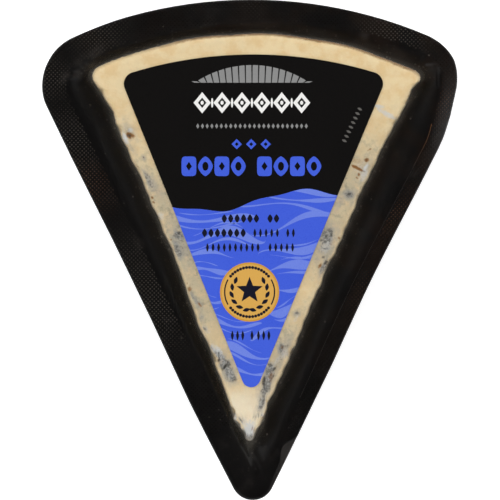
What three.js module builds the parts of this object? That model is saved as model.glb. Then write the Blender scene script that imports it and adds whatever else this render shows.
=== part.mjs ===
// A wedge of blue cheese sealed in a vacuum pack: a deep-drawn black base film, the wedge lying in its
// pocket, a clear lid film drawn down over the wedge and sealed to the rim, and a label on the lid film.
// Millimetres, +Z up. The origin is on the surface that the pack lies on, under the middle of the pack.
// +Y points from the tip of the wedge to its curved rind, and +X to the right of the label.
import * as THREE from "three";

// Driving dimensions: heights
const CHEESE_THICKNESS = 27.3;
const FILM_THICKNESS = 0.15;
const BASE_THICKNESS = 0.5;
const LABEL_THICKNESS = 0.2;
const GAP = 0.2; // clearance between pieces that touch
const WALL_TOP = 22.4; // where the two films meet at the side of the cheese
const SEAL_HEIGHT = 24.4; // upper face of the base film's rim
const SIDE_HEIGHTS = [3.5, 9, 16]; // rings up the bulging side of the cheese and the base film
const FLARE = 1.6; // how far below the films' meeting the base film's outside turns out to the rim

// Driving dimensions: outlines. Each has a circle at its tip, one at each corner, and the radius of its
// curved end, and the pack's own two have a knee, where the right side turns in.
const PACK = {
  tip: { x: 0.7, y: -57.1, r: 5.4 },
  knee: { x: 29.0, y: 33.7, r: 20.0 },
  right: { x: 39.7, y: 42.7, r: 11.9 },
  left: { x: -39.4, y: 41.6, r: 12.8 },
  endRadius: 112,
};
const SEAL_INNER = {
  tip: { x: 2.2, y: -52.6, r: 2.5 },
  knee: { x: 29.0, y: 33.7, r: 16.5 },
  right: { x: 39.3, y: 42.0, r: 8.4 },
  left: { x: -39.0, y: 41.0, r: 6.6 },
  endRadius: 106,
};
const CHEESE = {
  tip: { x: -0.1, y: -46.5, r: 0.8 },
  right: { x: 40.6, y: 43.0, r: 1.6 },
  left: { x: -36.8, y: 43.4, r: 2.3 },
  endRadius: 93,
};
const LABEL = {
  tip: { x: 0.3, y: -31.8, r: 2.3 },
  right: { x: 30.1, y: 41.4, r: 3.0 },
  left: { x: -28.4, y: 41.4, r: 3.0 },
  endRadius: 103.8,
};

// The cut sides of the cheese draw in between the rind and the tip, and crumble a little
const WAIST_LEFT = 1.25;
const WAIST_RIGHT = 1.4;
const WAIST_PEAK = 0.36; // share of the side's length, from the rind, where it draws in most
const CRUMB_ON_CUT = 0.34;
const CRUMB_ON_RIND = 0.12;
const CRUMB_WAVES = { lump: 2.9, slant: 7, patch: 6.3, patchStart: 1.1, grain: 1.7, grainShare: 0.5 };
const RIND_WAVE = 3.1;
const EDGE_ROUNDING = 1.9; // upper edge of the cheese
const BASE_ROUNDING = 1.6; // lower edge of the cheese
const BEND_ANGLES = [15, 45, 75]; // degrees round a rounded edge
const FACE_SWELL = 0.35; // how far the upper face rises in its middle
const SWELL_REACH = 16; // how far inside the rounding it has risen in full
const FACE_INSETS = [EDGE_ROUNDING, 6, 13]; // rings of the upper face, from its edge inwards
const SIDE_BULGE = 0.5; // how far the cheese swells out below the rim

// The rim of the pack is film, and isn't quite flat: two waves run round it, weaker at its inner edge, and
// it droops at its right corner and its tip
const RIM_WAVE = 0.35;
const RIM_WAVES = [
  { turns: 3, start: 0.8, share: 1 },
  { turns: 5, start: 2.1, share: 0.6 },
];
const INNER_WAVE = 0.35; // share of the waves at the inner edge
const CORNER_DROOP = { depth: 2.2, x: 48, y: 34, width: 11, length: 13, curve: 1.5 };
const TIP_DROOP = { depth: 0.9, start: -46, length: 16 };

// The right side of the rim bows in below its middle
const RIM_BOW = { depth: 0.95, y: -8, reach: 24 };

// The base film is cut back beside the tip, deepest at the top, which leaves some lid film to peel by
const PEEL = { depth: 2.2, top: -46.4, bottom: -61.5, deepest: 0.25, easing: 0.3, tail: 0.45, end: 4 };

// The circle that fits in the wedge
const INSCRIBED = { x: 0.9, y: 25.4, r: 28.6 };

// Stations along each stretch of every outline, so that outlines can be joined station by station
const STATIONS = { tip: 7, rightSide: 25, rightCorner: 5, end: 26, leftCorner: 5, leftSide: 24 };
const LABEL_STATIONS = { tip: 8, rightSide: 1, rightCorner: 8, end: 26, leftCorner: 8, leftSide: 1 };
const ARC_STEPS = 24;

// Shares of the way out from the cheese to the seal, and from the seal's inner edge to its outer one
const BAND_SHARES = [0.3, 0.65];
const RIM_SHARES = [0, 0.5, 1];

const mix = (a, b, t) => a + (b - a) * t;
const smooth = (t) => {
  const c = Math.min(1, Math.max(0, t));
  return c * c * (3 - 2 * c);
};

// Points on a circle from one normal angle to another, counter-clockwise
function arcPoints(circle, from, to) {
  const sweep = THREE.MathUtils.euclideanModulo(to - from, 2 * Math.PI);
  return Array.from({ length: ARC_STEPS + 1 }, (_, i) => {
    const angle = from + (sweep * i) / ARC_STEPS;
    return new THREE.Vector2(circle.x + circle.r * Math.cos(angle), circle.y + circle.r * Math.sin(angle));
  });
}

// The outward normal angle of the straight line that touches circle a and then circle b
function tangentNormal(a, b) {
  const distance = Math.hypot(b.x - a.x, b.y - a.y);
  return Math.atan2(b.y - a.y, b.x - a.x) - Math.acos((a.r - b.r) / distance);
}

// The centre of the end's arc, which encloses both corner circles and touches them
function endCentre({ left, right, endRadius }) {
  const dLeft = endRadius - left.r;
  const dRight = endRadius - right.r;
  const base = Math.hypot(right.x - left.x, right.y - left.y);
  const along = (dLeft * dLeft - dRight * dRight + base * base) / (2 * base);
  const below = Math.sqrt(dLeft * dLeft - along * along);
  const ux = (right.x - left.x) / base;
  const uy = (right.y - left.y) / base;
  return { x: left.x + along * ux + below * uy, y: left.y + along * uy - below * ux, r: endRadius };
}

// Spaces count points evenly along a path, leaving out its last point
function spaced(path, count) {
  const lengths = [0];
  for (let i = 1; i < path.length; i++) {
    lengths.push(lengths[i - 1] + path[i].distanceTo(path[i - 1]));
  }
  const total = lengths[lengths.length - 1];
  return Array.from({ length: count }, (_, k) => {
    const target = (total * k) / count;
    let i = 1;
    while (i < lengths.length - 1 && lengths[i] < target) {
      i += 1;
    }
    const t = (target - lengths[i - 1]) / (lengths[i] - lengths[i - 1]);
    return new THREE.Vector2().lerpVectors(path[i - 1], path[i], t);
  });
}

// Every point of an outline, counter-clockwise from the tip, with its stretch and its share along it
function outline(form, stations) {
  const { tip, knee, right, left } = form;
  const top = endCentre(form);
  const lower = knee ?? right;
  const fromTip = tangentNormal(tip, lower);
  const toTip = tangentNormal(left, tip);
  const rightEnd = Math.atan2(right.y - top.y, right.x - top.x);
  const leftEnd = Math.atan2(left.y - top.y, left.x - top.x);
  const rightStart = knee ? tangentNormal(knee, right) : fromTip;
  const tipArc = arcPoints(tip, toTip, fromTip);
  const rightCorner = arcPoints(right, rightStart, rightEnd);
  const end = arcPoints(top, rightEnd, leftEnd);
  const leftCorner = arcPoints(left, leftEnd, toTip);
  const bend = knee ? arcPoints(knee, fromTip, rightStart) : [];
  const rightSide = [tipArc.at(-1), ...bend, rightCorner[0]];
  const leftSide = [leftCorner.at(-1), tipArc[0]];
  const stretches = { tip: tipArc, rightSide, rightCorner, end, leftCorner, leftSide };
  return Object.entries(stretches).flatMap(([stretch, path]) => {
    const count = stations[stretch];
    return spaced(path, count).map(({ x, y }, k) => ({ x, y, stretch, share: k / count }));
  });
}

// The same outline moved outwards by a distance, which can differ from point to point
function moved(points, distance) {
  const count = points.length;
  return points.map((point, i) => {
    const before = points[(i + count - 1) % count];
    const after = points[(i + 1) % count];
    const length = Math.hypot(after.x - before.x, after.y - before.y);
    const d = typeof distance === "function" ? distance(point) : distance;
    const x = point.x + (d * (after.y - before.y)) / length;
    const y = point.y - (d * (after.x - before.x)) / length;
    return { ...point, x, y };
  });
}

// The edge of the cheese moved outwards, or inwards for a negative distance. Inwards it shrinks towards
// the centre of the circle that fits in the wedge, which keeps the narrow tip from crossing itself.
function fromCheese(distance) {
  if (distance >= 0) {
    return moved(cheeseEdge, distance);
  }
  const share = -distance / INSCRIBED.r;
  return cheeseEdge.map((point) => ({
    ...point,
    x: mix(point.x, INSCRIBED.x, share),
    y: mix(point.y, INSCRIBED.y, share),
  }));
}

// How far a cut side draws in, and how far its crumbling edge strays
function cheeseStray(point) {
  const { lump, slant, patch, patchStart, grain, grainShare } = CRUMB_WAVES;
  const coarse = Math.sin(point.y / lump + point.x / slant) * Math.sin(point.y / patch + patchStart);
  const crumb = coarse + grainShare * Math.sin(point.y / grain);
  if (point.stretch === "end") {
    return CRUMB_ON_RIND * Math.sin(point.x / RIND_WAVE);
  }
  if (!point.stretch.endsWith("Side")) {
    return 0;
  }
  const onRight = point.stretch === "rightSide";
  const fromRind = onRight ? 1 - point.share : point.share;
  const skewed = fromRind ** (Math.log(0.5) / Math.log(WAIST_PEAK));
  const drawn = Math.sin(Math.PI * skewed) * (onRight ? WAIST_RIGHT : WAIST_LEFT);
  return CRUMB_ON_CUT * crumb * Math.sqrt(Math.sin(Math.PI * point.share)) - drawn;
}

// How far the rim's right side stands out from the straight line
function rimBow(point) {
  return point.x > 0 ? -RIM_BOW.depth * Math.exp(-(((point.y - RIM_BOW.y) / RIM_BOW.reach) ** 2)) : 0;
}

// How far the base film's edge stands out from the lid film's edge
function peelCut(point) {
  const share = (PEEL.top - point.y) / (PEEL.top - PEEL.bottom);
  if (point.x < 0 || share < 0 || share > 1) {
    return 0;
  }
  const rise = smooth(share / PEEL.deepest);
  const fall = mix(1, PEEL.tail, smooth((share - PEEL.deepest) / PEEL.easing)) * (1 - share ** PEEL.end);
  return -PEEL.depth * rise * fall;
}

const packEdge = moved(outline(PACK, STATIONS), rimBow);
const baseEdge = moved(packEdge, peelCut);
const sealEdge = moved(outline(SEAL_INNER, STATIONS), rimBow);
const cheeseEdge = moved(outline(CHEESE, STATIONS), cheeseStray);

// A ring of points at a height, which can differ from point to point
function ring(points, height) {
  const heightAt = typeof height === "function" ? height : () => height;
  return points.map((point) => [point.x, point.y, heightAt(point)]);
}

// Rings between two outlines, at a share of the way from the first to the second
function between(first, second, share) {
  return first.map((point, i) => ({
    ...point,
    x: mix(point.x, second[i].x, share),
    y: mix(point.y, second[i].y, share),
  }));
}

// Height of the rim's upper face: 0 is its inner edge and 1 its outer edge
function rimHeight(point, share) {
  const around = Math.atan2(point.y, point.x);
  const wave = RIM_WAVES.reduce((sum, w) => sum + w.share * Math.sin(w.turns * around + w.start), 0);
  const { x, y, width, length } = CORNER_DROOP;
  const nearCorner = Math.exp(-(((point.x - x) / width) ** 2) - ((point.y - y) / length) ** 2);
  const nearTip = smooth((TIP_DROOP.start - point.y) / TIP_DROOP.length);
  const cornerDroop = CORNER_DROOP.depth * nearCorner * share ** CORNER_DROOP.curve;
  const droop = cornerDroop + TIP_DROOP.depth * nearTip * share;
  return SEAL_HEIGHT + RIM_WAVE * wave * mix(INNER_WAVE, 1, share) - droop;
}

// Height of the band between the cheese and the seal: 0 is the cheese and 1 the seal's inner edge
function bandHeight(point, share) {
  return mix(WALL_TOP, rimHeight(point, 0), smooth(share));
}

// A closed body through rings that share their stations, with a fan over each end that rises or falls to
// a given height in the middle of the wedge
function loft(rings, firstHeight, lastHeight) {
  const count = rings[0].length;
  const positions = rings.flat(2);
  const indices = [];
  for (let k = 0; k + 1 < rings.length; k++) {
    for (let i = 0; i < count; i++) {
      const j = (i + 1) % count;
      const [a, b, c, d] = [k * count + i, k * count + j, (k + 1) * count + j, (k + 1) * count + i];
      indices.push(a, b, c, a, c, d);
    }
  }
  const first = rings.length * count;
  const last = (rings.length - 1) * count;
  positions.push(INSCRIBED.x, INSCRIBED.y, firstHeight, INSCRIBED.x, INSCRIBED.y, lastHeight);
  for (let i = 0; i < count; i++) {
    const j = (i + 1) % count;
    indices.push(first, j, i, first + 1, last + i, last + j);
  }
  const geometry = new THREE.BufferGeometry();
  geometry.setAttribute("position", new THREE.Float32BufferAttribute(positions, 3));
  geometry.setIndex(indices);
  geometry.computeVertexNormals();
  return geometry;
}

const cheeseBottom = BASE_THICKNESS + GAP;
const cheeseTop = cheeseBottom + CHEESE_THICKNESS;

// How much the upper face has risen at a distance inside its edge
const swell = (inside) => FACE_SWELL * smooth((inside - EDGE_ROUNDING) / SWELL_REACH);

// How far the cheese stands out at a height, which the base film follows
function bulge(z) {
  const share = smooth((z - cheeseBottom) / (WALL_TOP - cheeseBottom));
  return SIDE_BULGE * Math.sin(Math.PI * share);
}

const bendAngles = BEND_ANGLES.map((degrees) => THREE.MathUtils.degToRad(degrees));

// Rings of a surface that keeps a distance from the cheese: its lower edge, from below upwards
function lowerEdge(lift) {
  const radius = BASE_ROUNDING + lift;
  const floor = ring(fromCheese(-BASE_ROUNDING), cheeseBottom - lift);
  const bends = bendAngles.map((a) =>
    ring(fromCheese(lift - radius * (1 - Math.sin(a))), cheeseBottom - lift + radius * (1 - Math.cos(a))),
  );
  return [floor, ...bends];
}

// The same surface's side, at given heights
function side(lift, heights) {
  return heights.map((z) => ring(fromCheese(lift + bulge(z)), z));
}

// The same surface's upper edge and face, from the side inwards
function upperFace(lift) {
  const radius = EDGE_ROUNDING + lift;
  const bends = bendAngles.toReversed().map((a) =>
    ring(fromCheese(lift - radius * (1 - Math.sin(a))), cheeseTop + lift - radius * (1 - Math.cos(a))),
  );
  const face = FACE_INSETS.map((inside) => ring(fromCheese(-inside), cheeseTop + lift + swell(inside)));
  return [...bends, ...face];
}

// The films' rings from the cheese out to an edge: the band between cheese and seal, then the rim
function brim(edge, lift) {
  const foot = moved(cheeseEdge, GAP);
  const band = BAND_SHARES.map((s) => ring(between(foot, sealEdge, s), (p) => bandHeight(p, s) + lift));
  const rim = RIM_SHARES.map((s) => ring(between(sealEdge, edge, s), (p) => rimHeight(p, s) + lift));
  return [...band, ...rim];
}

function cheeseWedge() {
  const heights = [...SIDE_HEIGHTS, WALL_TOP, cheeseTop - EDGE_ROUNDING];
  const rings = [...lowerEdge(0), ...side(0, heights), ...upperFace(0)];
  return loft(rings, cheeseBottom, cheeseTop + FACE_SWELL);
}

// The base film is a shell round the cheese, open at its top, with its rim turned outwards
function baseFilm() {
  const outside = GAP + BASE_THICKNESS;
  const outer = [...lowerEdge(outside), ...side(outside, [...SIDE_HEIGHTS, WALL_TOP - FLARE])];
  const inner = [...lowerEdge(GAP), ...side(GAP, [...SIDE_HEIGHTS, WALL_TOP])];
  const under = brim(baseEdge, -BASE_THICKNESS);
  const over = brim(baseEdge, 0);
  const rings = [...outer, ...under, ...over.toReversed(), ...inner.toReversed()];
  return loft(rings, 0, BASE_THICKNESS);
}

// The lid film lies over the face of the cheese, down its side to the base film, and out to the edge
function lidFilm() {
  const face = (lift) => [
    ...upperFace(lift).toReversed(),
    ring(fromCheese(lift), WALL_TOP + lift),
    ...brim(packEdge, lift),
  ];
  const rings = [...face(GAP), ...face(GAP + FILM_THICKNESS).toReversed()];
  const middle = cheeseTop + FACE_SWELL + GAP;
  return loft(rings, middle, middle + FILM_THICKNESS);
}

function frontLabel() {
  const edge = outline(LABEL, LABEL_STATIONS);
  const under = cheeseTop + FACE_SWELL + FILM_THICKNESS + 2 * GAP;
  const over = under + LABEL_THICKNESS;
  return loft([ring(edge, under), ring(edge, over)], under, over);
}

const FINISHES = {
  base_film: { color: 0x171514, roughness: 0.35, metalness: 0 },
  cheese_wedge: { color: 0xdcc79b, roughness: 0.6, metalness: 0 },
  lid_film: { color: 0xf4f6f8, roughness: 0.1, metalness: 0, transparent: true, opacity: 0.2 },
  front_label: { color: 0x2b3a8c, roughness: 0.4, metalness: 0 },
};

function named(name, geometry) {
  const mesh = new THREE.Mesh(geometry, new THREE.MeshStandardMaterial(FINISHES[name]));
  mesh.name = name;
  return mesh;
}

const pack = new THREE.Group();
pack.add(named("base_film", baseFilm()));
pack.add(named("cheese_wedge", cheeseWedge()));
pack.add(named("lid_film", lidFilm()));
pack.add(named("front_label", frontLabel()));

// The origin goes under the middle of the pack
const middle = new THREE.Box3().setFromObject(pack).getCenter(new THREE.Vector3());
pack.position.set(-middle.x, -middle.y, 0);

export default pack;
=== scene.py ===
"""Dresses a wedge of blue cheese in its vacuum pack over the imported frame.

The pack lies on its base with the label up. Shapes are worked out on a drawing in millimetres, whose
origin is the middle of the photograph and whose +Y points to the curved rind, and they become metres in
the frame when a mesh is made.
"""

import logging
import math
from collections.abc import Callable, Sequence
from dataclasses import dataclass
from enum import Enum, IntEnum

import bmesh
import bpy
import numpy as np
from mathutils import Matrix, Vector, noise


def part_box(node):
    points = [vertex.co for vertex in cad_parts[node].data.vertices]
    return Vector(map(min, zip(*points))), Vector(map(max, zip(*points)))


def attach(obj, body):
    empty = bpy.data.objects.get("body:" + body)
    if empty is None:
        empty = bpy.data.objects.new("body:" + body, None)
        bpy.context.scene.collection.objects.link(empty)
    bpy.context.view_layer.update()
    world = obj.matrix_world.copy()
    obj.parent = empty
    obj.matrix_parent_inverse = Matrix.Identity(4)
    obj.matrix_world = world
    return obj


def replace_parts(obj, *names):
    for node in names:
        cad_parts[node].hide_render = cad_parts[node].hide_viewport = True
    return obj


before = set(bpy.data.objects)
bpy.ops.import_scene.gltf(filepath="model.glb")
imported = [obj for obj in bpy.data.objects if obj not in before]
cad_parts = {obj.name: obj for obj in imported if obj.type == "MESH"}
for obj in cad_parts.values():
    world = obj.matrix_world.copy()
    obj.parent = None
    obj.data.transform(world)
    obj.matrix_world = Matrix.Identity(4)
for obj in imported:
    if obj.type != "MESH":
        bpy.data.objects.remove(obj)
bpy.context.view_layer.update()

LOG = logging.getLogger("cheese_pack")
BODY = "root"
MM = 0.001
PHOTO_PITCH = 0.25  # millimetres to a pixel of the photograph
PHOTO_MIDDLE = (250.0, 250.25)
# how many points the pieces' outlines have along each of their stretches
FILM_STATIONS = (28, 190, 34, 170, 34, 190)
CHEESE_STATIONS = (20, 380, 16, 260, 18, 380)

Array = np.ndarray
Tone = tuple[int, int, int]  # a colour as a screen shows it, 0 to 255
Steps = tuple[tuple[float, float], ...]  # places along something, each with a value there
Spots = tuple[tuple[float, float, float], ...]  # X, Y and reach
Socket = bpy.types.NodeSocket
NodeTree = bpy.types.NodeTree
Material = bpy.types.Material
Mesh = bpy.types.Mesh
Object = bpy.types.Object


def from_photo(px: float, py: float) -> tuple[float, float]:
    """Gives X and Y on the drawing, in millimetres, of a pixel of the photograph."""
    return (px - PHOTO_MIDDLE[0]) * PHOTO_PITCH, (PHOTO_MIDDLE[1] - py) * PHOTO_PITCH


def smooth(t: Array | float) -> Array:
    """Eases from 0 to 1 as t does, and stays there beyond."""
    c = np.clip(t, 0.0, 1.0)
    return c * c * (3.0 - 2.0 * c)


def mix(a: Array | float, b: Array | float, t: Array | float) -> Array:
    """Goes from a to b as t goes from 0 to 1."""
    return a + (b - a) * t


def fractal(x: Array, y: Array, z: Array | float, size: float, seed: float, octaves: int = 3) -> Array:
    """Gives fractal noise at many points.

    Args:
        x: Millimetres along X.
        y: Millimetres along Y.
        z: Millimetres along Z.
        size: Millimetres across the largest lumps.
        seed: Moves the noise so that two uses differ.
        octaves: How many finer layers it adds.

    Returns:
        Values of about -1 to 1, shaped as x is.
    """
    xs, ys, zs = np.broadcast_arrays(x, y, z)
    flat = np.column_stack((xs.ravel(), ys.ravel(), zs.ravel())) / size + seed
    values = [noise.fractal(Vector(p), 0.8, 2.1, octaves, noise_basis="PERLIN_ORIGINAL") for p in flat]
    return np.array(values).reshape(xs.shape)


class Stretch(IntEnum):
    """The stretches of a wedge's outline, counter-clockwise from its tip."""

    TIP = 0
    RIGHT_SIDE = 1
    RIGHT_CORNER = 2
    END = 3
    LEFT_CORNER = 4
    LEFT_SIDE = 5


@dataclass(frozen=True)
class Circle:
    """A circle on the drawing, in millimetres."""

    x: float
    y: float
    r: float

    def arc(self, start: float, end: float, steps: int = 24) -> Array:
        """Gives points on it from one normal angle to another, counter-clockwise."""
        angles = start + ((end - start) % math.tau) * np.linspace(0.0, 1.0, steps + 1)
        return np.column_stack((self.x + self.r * np.cos(angles), self.y + self.r * np.sin(angles)))

    def tangent(self, other: "Circle") -> float:
        """Gives the outward normal angle of the line that touches this circle and then the other."""
        across = math.hypot(other.x - self.x, other.y - self.y)
        return math.atan2(other.y - self.y, other.x - self.x) - math.acos((self.r - other.r) / across)


@dataclass(frozen=True)
class Edge:
    """A closed outline's points, each with its stretch and its share of the way along it."""

    points: Array
    stretch: Array
    share: Array

    @property
    def x(self) -> Array:
        """X of every point."""
        return self.points[:, 0]

    @property
    def y(self) -> Array:
        """Y of every point."""
        return self.points[:, 1]

    def moved(self, distance: Array | float) -> "Edge":
        """Gives the outline moved outwards by a distance, which can differ from point to point.

        Args:
            distance: In millimetres, one or one for each point.

        Returns:
            The moved outline.
        """
        ahead = np.roll(self.points, -1, axis=0) - np.roll(self.points, 1, axis=0)
        outward = np.column_stack((ahead[:, 1], -ahead[:, 0])) / np.hypot(*ahead.T)[:, None]
        return Edge(self.points + outward * np.reshape(distance, (-1, 1)), self.stretch, self.share)

    def shrunk(self, distance: float) -> "Edge":
        """Gives the outline shrunk by a distance towards the circle that fits in the wedge."""
        inner = np.array((INSCRIBED.x, INSCRIBED.y))
        return Edge(mix(self.points, inner, distance / INSCRIBED.r), self.stretch, self.share)

    def offset(self, distance: float) -> "Edge":
        """Gives the outline moved outwards, or shrunk for a negative distance."""
        return self.moved(distance) if distance >= 0 else self.shrunk(-distance)

    def towards(self, other: "Edge", share: float) -> "Edge":
        """Gives the outline a share of the way to another one with the same stations."""
        return Edge(mix(self.points, other.points, share), self.stretch, self.share)


Rings = list[tuple[Edge, Array | float]]  # outlines, each with its height or its points' heights
INSCRIBED = Circle(0.9, 25.4, 28.6)  # the circle that fits in the wedge


@dataclass(frozen=True)
class WedgeOutline:
    """A wedge with a circle at its tip and at each corner, and a curved end."""

    tip: Circle
    right: Circle
    left: Circle
    end_radius: float
    knee: Circle | None = None

    def end_circle(self) -> Circle:
        """Gives the circle of the curved end, which encloses both corner circles and touches them.

        Returns:
            The circle.
        """
        to_left, to_right = self.end_radius - self.left.r, self.end_radius - self.right.r
        base = math.hypot(self.right.x - self.left.x, self.right.y - self.left.y)
        along = (to_left**2 - to_right**2 + base**2) / (2 * base)
        below = math.sqrt(to_left**2 - along**2)
        ux, uy = (self.right.x - self.left.x) / base, (self.right.y - self.left.y) / base
        x, y = self.left.x + along * ux + below * uy, self.left.y + along * uy - below * ux
        return Circle(x, y, self.end_radius)

    def edge(self, stations: Sequence[int]) -> Edge:
        """Gives the outline's points.

        Args:
            stations: How many points each stretch gets, in the order of Stretch.

        Returns:
            The points, counter-clockwise from the tip.
        """
        top = self.end_circle()
        from_tip = self.tip.tangent(self.knee or self.right)
        to_tip = self.left.tangent(self.tip)
        right_start = self.knee.tangent(self.right) if self.knee else from_tip
        right_end = math.atan2(self.right.y - top.y, self.right.x - top.x)
        left_end = math.atan2(self.left.y - top.y, self.left.x - top.x)
        tip = self.tip.arc(to_tip, from_tip)
        right = self.right.arc(right_start, right_end)
        left = self.left.arc(left_end, to_tip)
        bend = self.knee.arc(from_tip, right_start) if self.knee else np.empty((0, 2))
        right_side = np.vstack((tip[-1:], bend, right[:1]))
        left_side = np.vstack((left[-1:], tip[:1]))
        paths = (tip, right_side, right, top.arc(right_end, left_end), left, left_side)
        parts = [spaced(path, count) for path, count in zip(paths, stations, strict=True)]
        return Edge(
            np.vstack(parts),
            np.repeat(list(Stretch), stations),
            np.concatenate([np.arange(count) / count for count in stations]),
        )


def spaced(path: Array, count: int) -> Array:
    """Spaces points evenly along a path, leaving out its last point.

    Args:
        path: Points in order.
        count: How many points to give.

    Returns:
        The spaced points.
    """
    lengths = np.concatenate(([0.0], np.cumsum(np.hypot(*np.diff(path, axis=0).T))))
    places = lengths[-1] * np.arange(count) / count
    return np.column_stack((np.interp(places, lengths, path[:, 0]), np.interp(places, lengths, path[:, 1])))


@dataclass(frozen=True)
class PackDrawing:
    """The outlines and heights that every piece of the pack is made from, in millimetres."""

    pack: WedgeOutline = WedgeOutline(
        tip=Circle(0.7, -57.1, 5.4),
        knee=Circle(29.0, 33.7, 20.0),
        right=Circle(39.7, 42.7, 11.9),
        left=Circle(-39.4, 41.6, 12.8),
        end_radius=112.0,
    )
    seal: WedgeOutline = WedgeOutline(
        tip=Circle(2.2, -52.6, 2.5),
        knee=Circle(29.0, 33.7, 16.5),
        right=Circle(39.3, 42.0, 8.4),
        left=Circle(-39.0, 41.0, 6.6),
        end_radius=106.0,
    )
    cheese: WedgeOutline = WedgeOutline(
        tip=Circle(-0.1, -46.5, 0.8),
        right=Circle(40.6, 43.0, 1.6),
        left=Circle(-36.8, 43.4, 2.3),
        end_radius=93.0,
    )
    label: WedgeOutline = WedgeOutline(
        tip=Circle(0.3, -31.8, 2.3),
        right=Circle(30.1, 41.4, 3.0),
        left=Circle(-28.4, 41.4, 3.0),
        end_radius=103.8,
    )
    base_thickness: float = 0.5
    clearance: float = 0.2
    wall_top: float = 22.4
    seal_height: float = 24.4
    edge_rounding: float = 1.9
    base_rounding: float = 1.6
    face_swell: float = 0.35
    side_bulge: float = 0.5
    rim_wave: float = 0.35
    corner_droop: float = 2.2
    tip_droop: float = 0.9
    # the bow of the rim's right side: its depth, its middle and how far it reaches along Y
    bow_depth: float = 0.95
    bow_y: float = -8.0
    bow_reach: float = 24.0
    # where the base film is cut back beside the tip
    cut_top: float = -46.4
    cut_bottom: float = -61.5
    cut_depth: float = 2.2
    # how far the cut sides stand out at rows of the photograph
    left_lumps: Steps = (
        (84, 0), (90, -0.15), (102, -0.5), (114, -0.85), (124, -0.1), (140, 0), (150, -0.3), (160, -0.05),
        (190, -0.1), (198, -0.45), (208, 0), (236, -0.05), (246, -0.27), (270, -0.34), (280, -0.1),
        (300, 0.3), (365, 0.2), (400, 0.58), (418, 1.05), (426, 0.35), (433, -0.12), (436, 0),
    )
    right_lumps: Steps = (
        (80, 0), (90, -0.6), (100, 0), (140, 0), (150, -0.27), (186, -0.12), (198, -0.42), (210, 0),
        (228, 0.4), (256, 0.22), (270, -0.26), (284, 0.05), (300, -0.05), (342, 0.5), (385, 0), (395, 0),
        (403, -0.35), (410, 0.2), (418, 0.55), (427, 0.12), (434, 0),
    )
    # how far the rim stands out from its circles at rows of the photograph
    left_rim: Steps = (
        (20, 0), (40, -0.33), (60, -0.45), (80, -0.3), (100, -0.08), (160, 0), (240, -0.17), (320, -0.07),
        (360, 0.17), (400, 0.4), (430, 0.32), (490, 0),
    )
    right_rim: Steps = (
        (12, 0), (40, 0.08), (60, 0.5), (80, 0.3), (90, 0.34), (115, 0.6), (130, 0.46), (145, 0.12),
        (160, 0.09), (240, 0.2), (320, 0.34), (360, 0.31), (400, 0.07), (430, 0),
    )

    @property
    def cheese_bottom(self) -> float:
        """Height of the cheese's lower face, from the frame."""
        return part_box("cheese_wedge")[0].z / MM

    @property
    def cheese_top(self) -> float:
        """Height of the cheese's upper face at its edge, from the frame."""
        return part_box("cheese_wedge")[1].z / MM - self.face_swell

    def rim_bow(self, edge: Edge) -> Array:
        """Gives how far the rim's right side stands out from the straight line."""
        bow = np.exp(-(((edge.y - self.bow_y) / self.bow_reach) ** 2))
        return np.where(edge.x > 0, -self.bow_depth * bow, 0.0)

    @staticmethod
    def by_row(edge: Edge, left: Steps, right: Steps) -> Array:
        """Gives a value at each point of an edge, from steps at rows of the photograph on each side.

        Args:
            edge: The edge.
            left, right: Rows of the photograph, each with its value.

        Returns:
            A value for each point.
        """
        row = PHOTO_MIDDLE[1] - edge.y / PHOTO_PITCH
        sides = [np.interp(row, *np.transpose(steps)) for steps in (left, right)]
        return np.where(edge.x > 0, sides[1], sides[0])

    def drawn_edge(self, stations: Sequence[int]) -> Edge:
        """Gives the pack's outer edge as the plain solids have it."""
        edge = self.pack.edge(stations)
        return edge.moved(self.rim_bow(edge))

    def pack_edge(self, stations: Sequence[int] = FILM_STATIONS) -> Edge:
        """Gives the outer edge of the lid film, with the stray of a real edge."""
        edge = self.drawn_edge(stations)
        return edge.moved(self.by_row(edge, self.left_rim, self.right_rim))

    def base_edge(self, stations: Sequence[int] = FILM_STATIONS) -> Edge:
        """Gives the outer edge of the base film, which is cut back beside the tip.

        Args:
            stations: Points along each of the outline's stretches.

        Returns:
            The edge.
        """
        edge = self.pack_edge(stations)
        deepest = 0.25
        share = (self.cut_top - edge.y) / (self.cut_top - self.cut_bottom)
        fall = mix(1.0, 0.45, smooth((share - deepest) / 0.3)) * (1 - np.clip(share, 0, 1) ** 4)
        depth = self.cut_depth * smooth(share / deepest) * fall
        return edge.moved(np.where((edge.x > 0) & (share > 0) & (share < 1), -depth, 0.0))

    def seal_edge(self, stations: Sequence[int] = FILM_STATIONS) -> Edge:
        """Gives the inner edge of the heat seal."""
        edge = self.seal.edge(stations)
        return edge.moved(self.rim_bow(edge))

    def cheese_edge(self, stations: Sequence[int] = FILM_STATIONS) -> Edge:
        """Gives the outline of the cheese, with its waists and its crumbling cut sides.

        Args:
            stations: Points along each of the outline's stretches.

        Returns:
            The edge.
        """
        edge = self.cheese.edge(stations)
        coarse = np.sin(edge.y / 2.9 + edge.x / 7) * np.sin(edge.y / 6.3 + 1.1)
        crumb = 0.24 * (coarse + 0.5 * np.sin(edge.y / 1.7) + 0.4 * np.sin(edge.y / 0.83 + edge.x))
        on_right = edge.stretch == Stretch.RIGHT_SIDE
        on_side = on_right | (edge.stretch == Stretch.LEFT_SIDE)
        from_rind = np.where(on_right, 1 - edge.share, edge.share)
        skewed = from_rind ** (math.log(0.5) / math.log(0.36))
        drawn = np.sin(math.pi * skewed) * np.where(on_right, 1.4, 1.25)
        lumps = self.by_row(edge, self.left_lumps, self.right_lumps)
        stray = crumb * np.sin(math.pi * edge.share) ** 0.5 - drawn + lumps
        rind = 0.12 * np.sin(edge.x / 3.1)
        return edge.moved(0.3 + np.where(on_side, stray, np.where(edge.stretch == Stretch.END, rind, 0.0)))

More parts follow.
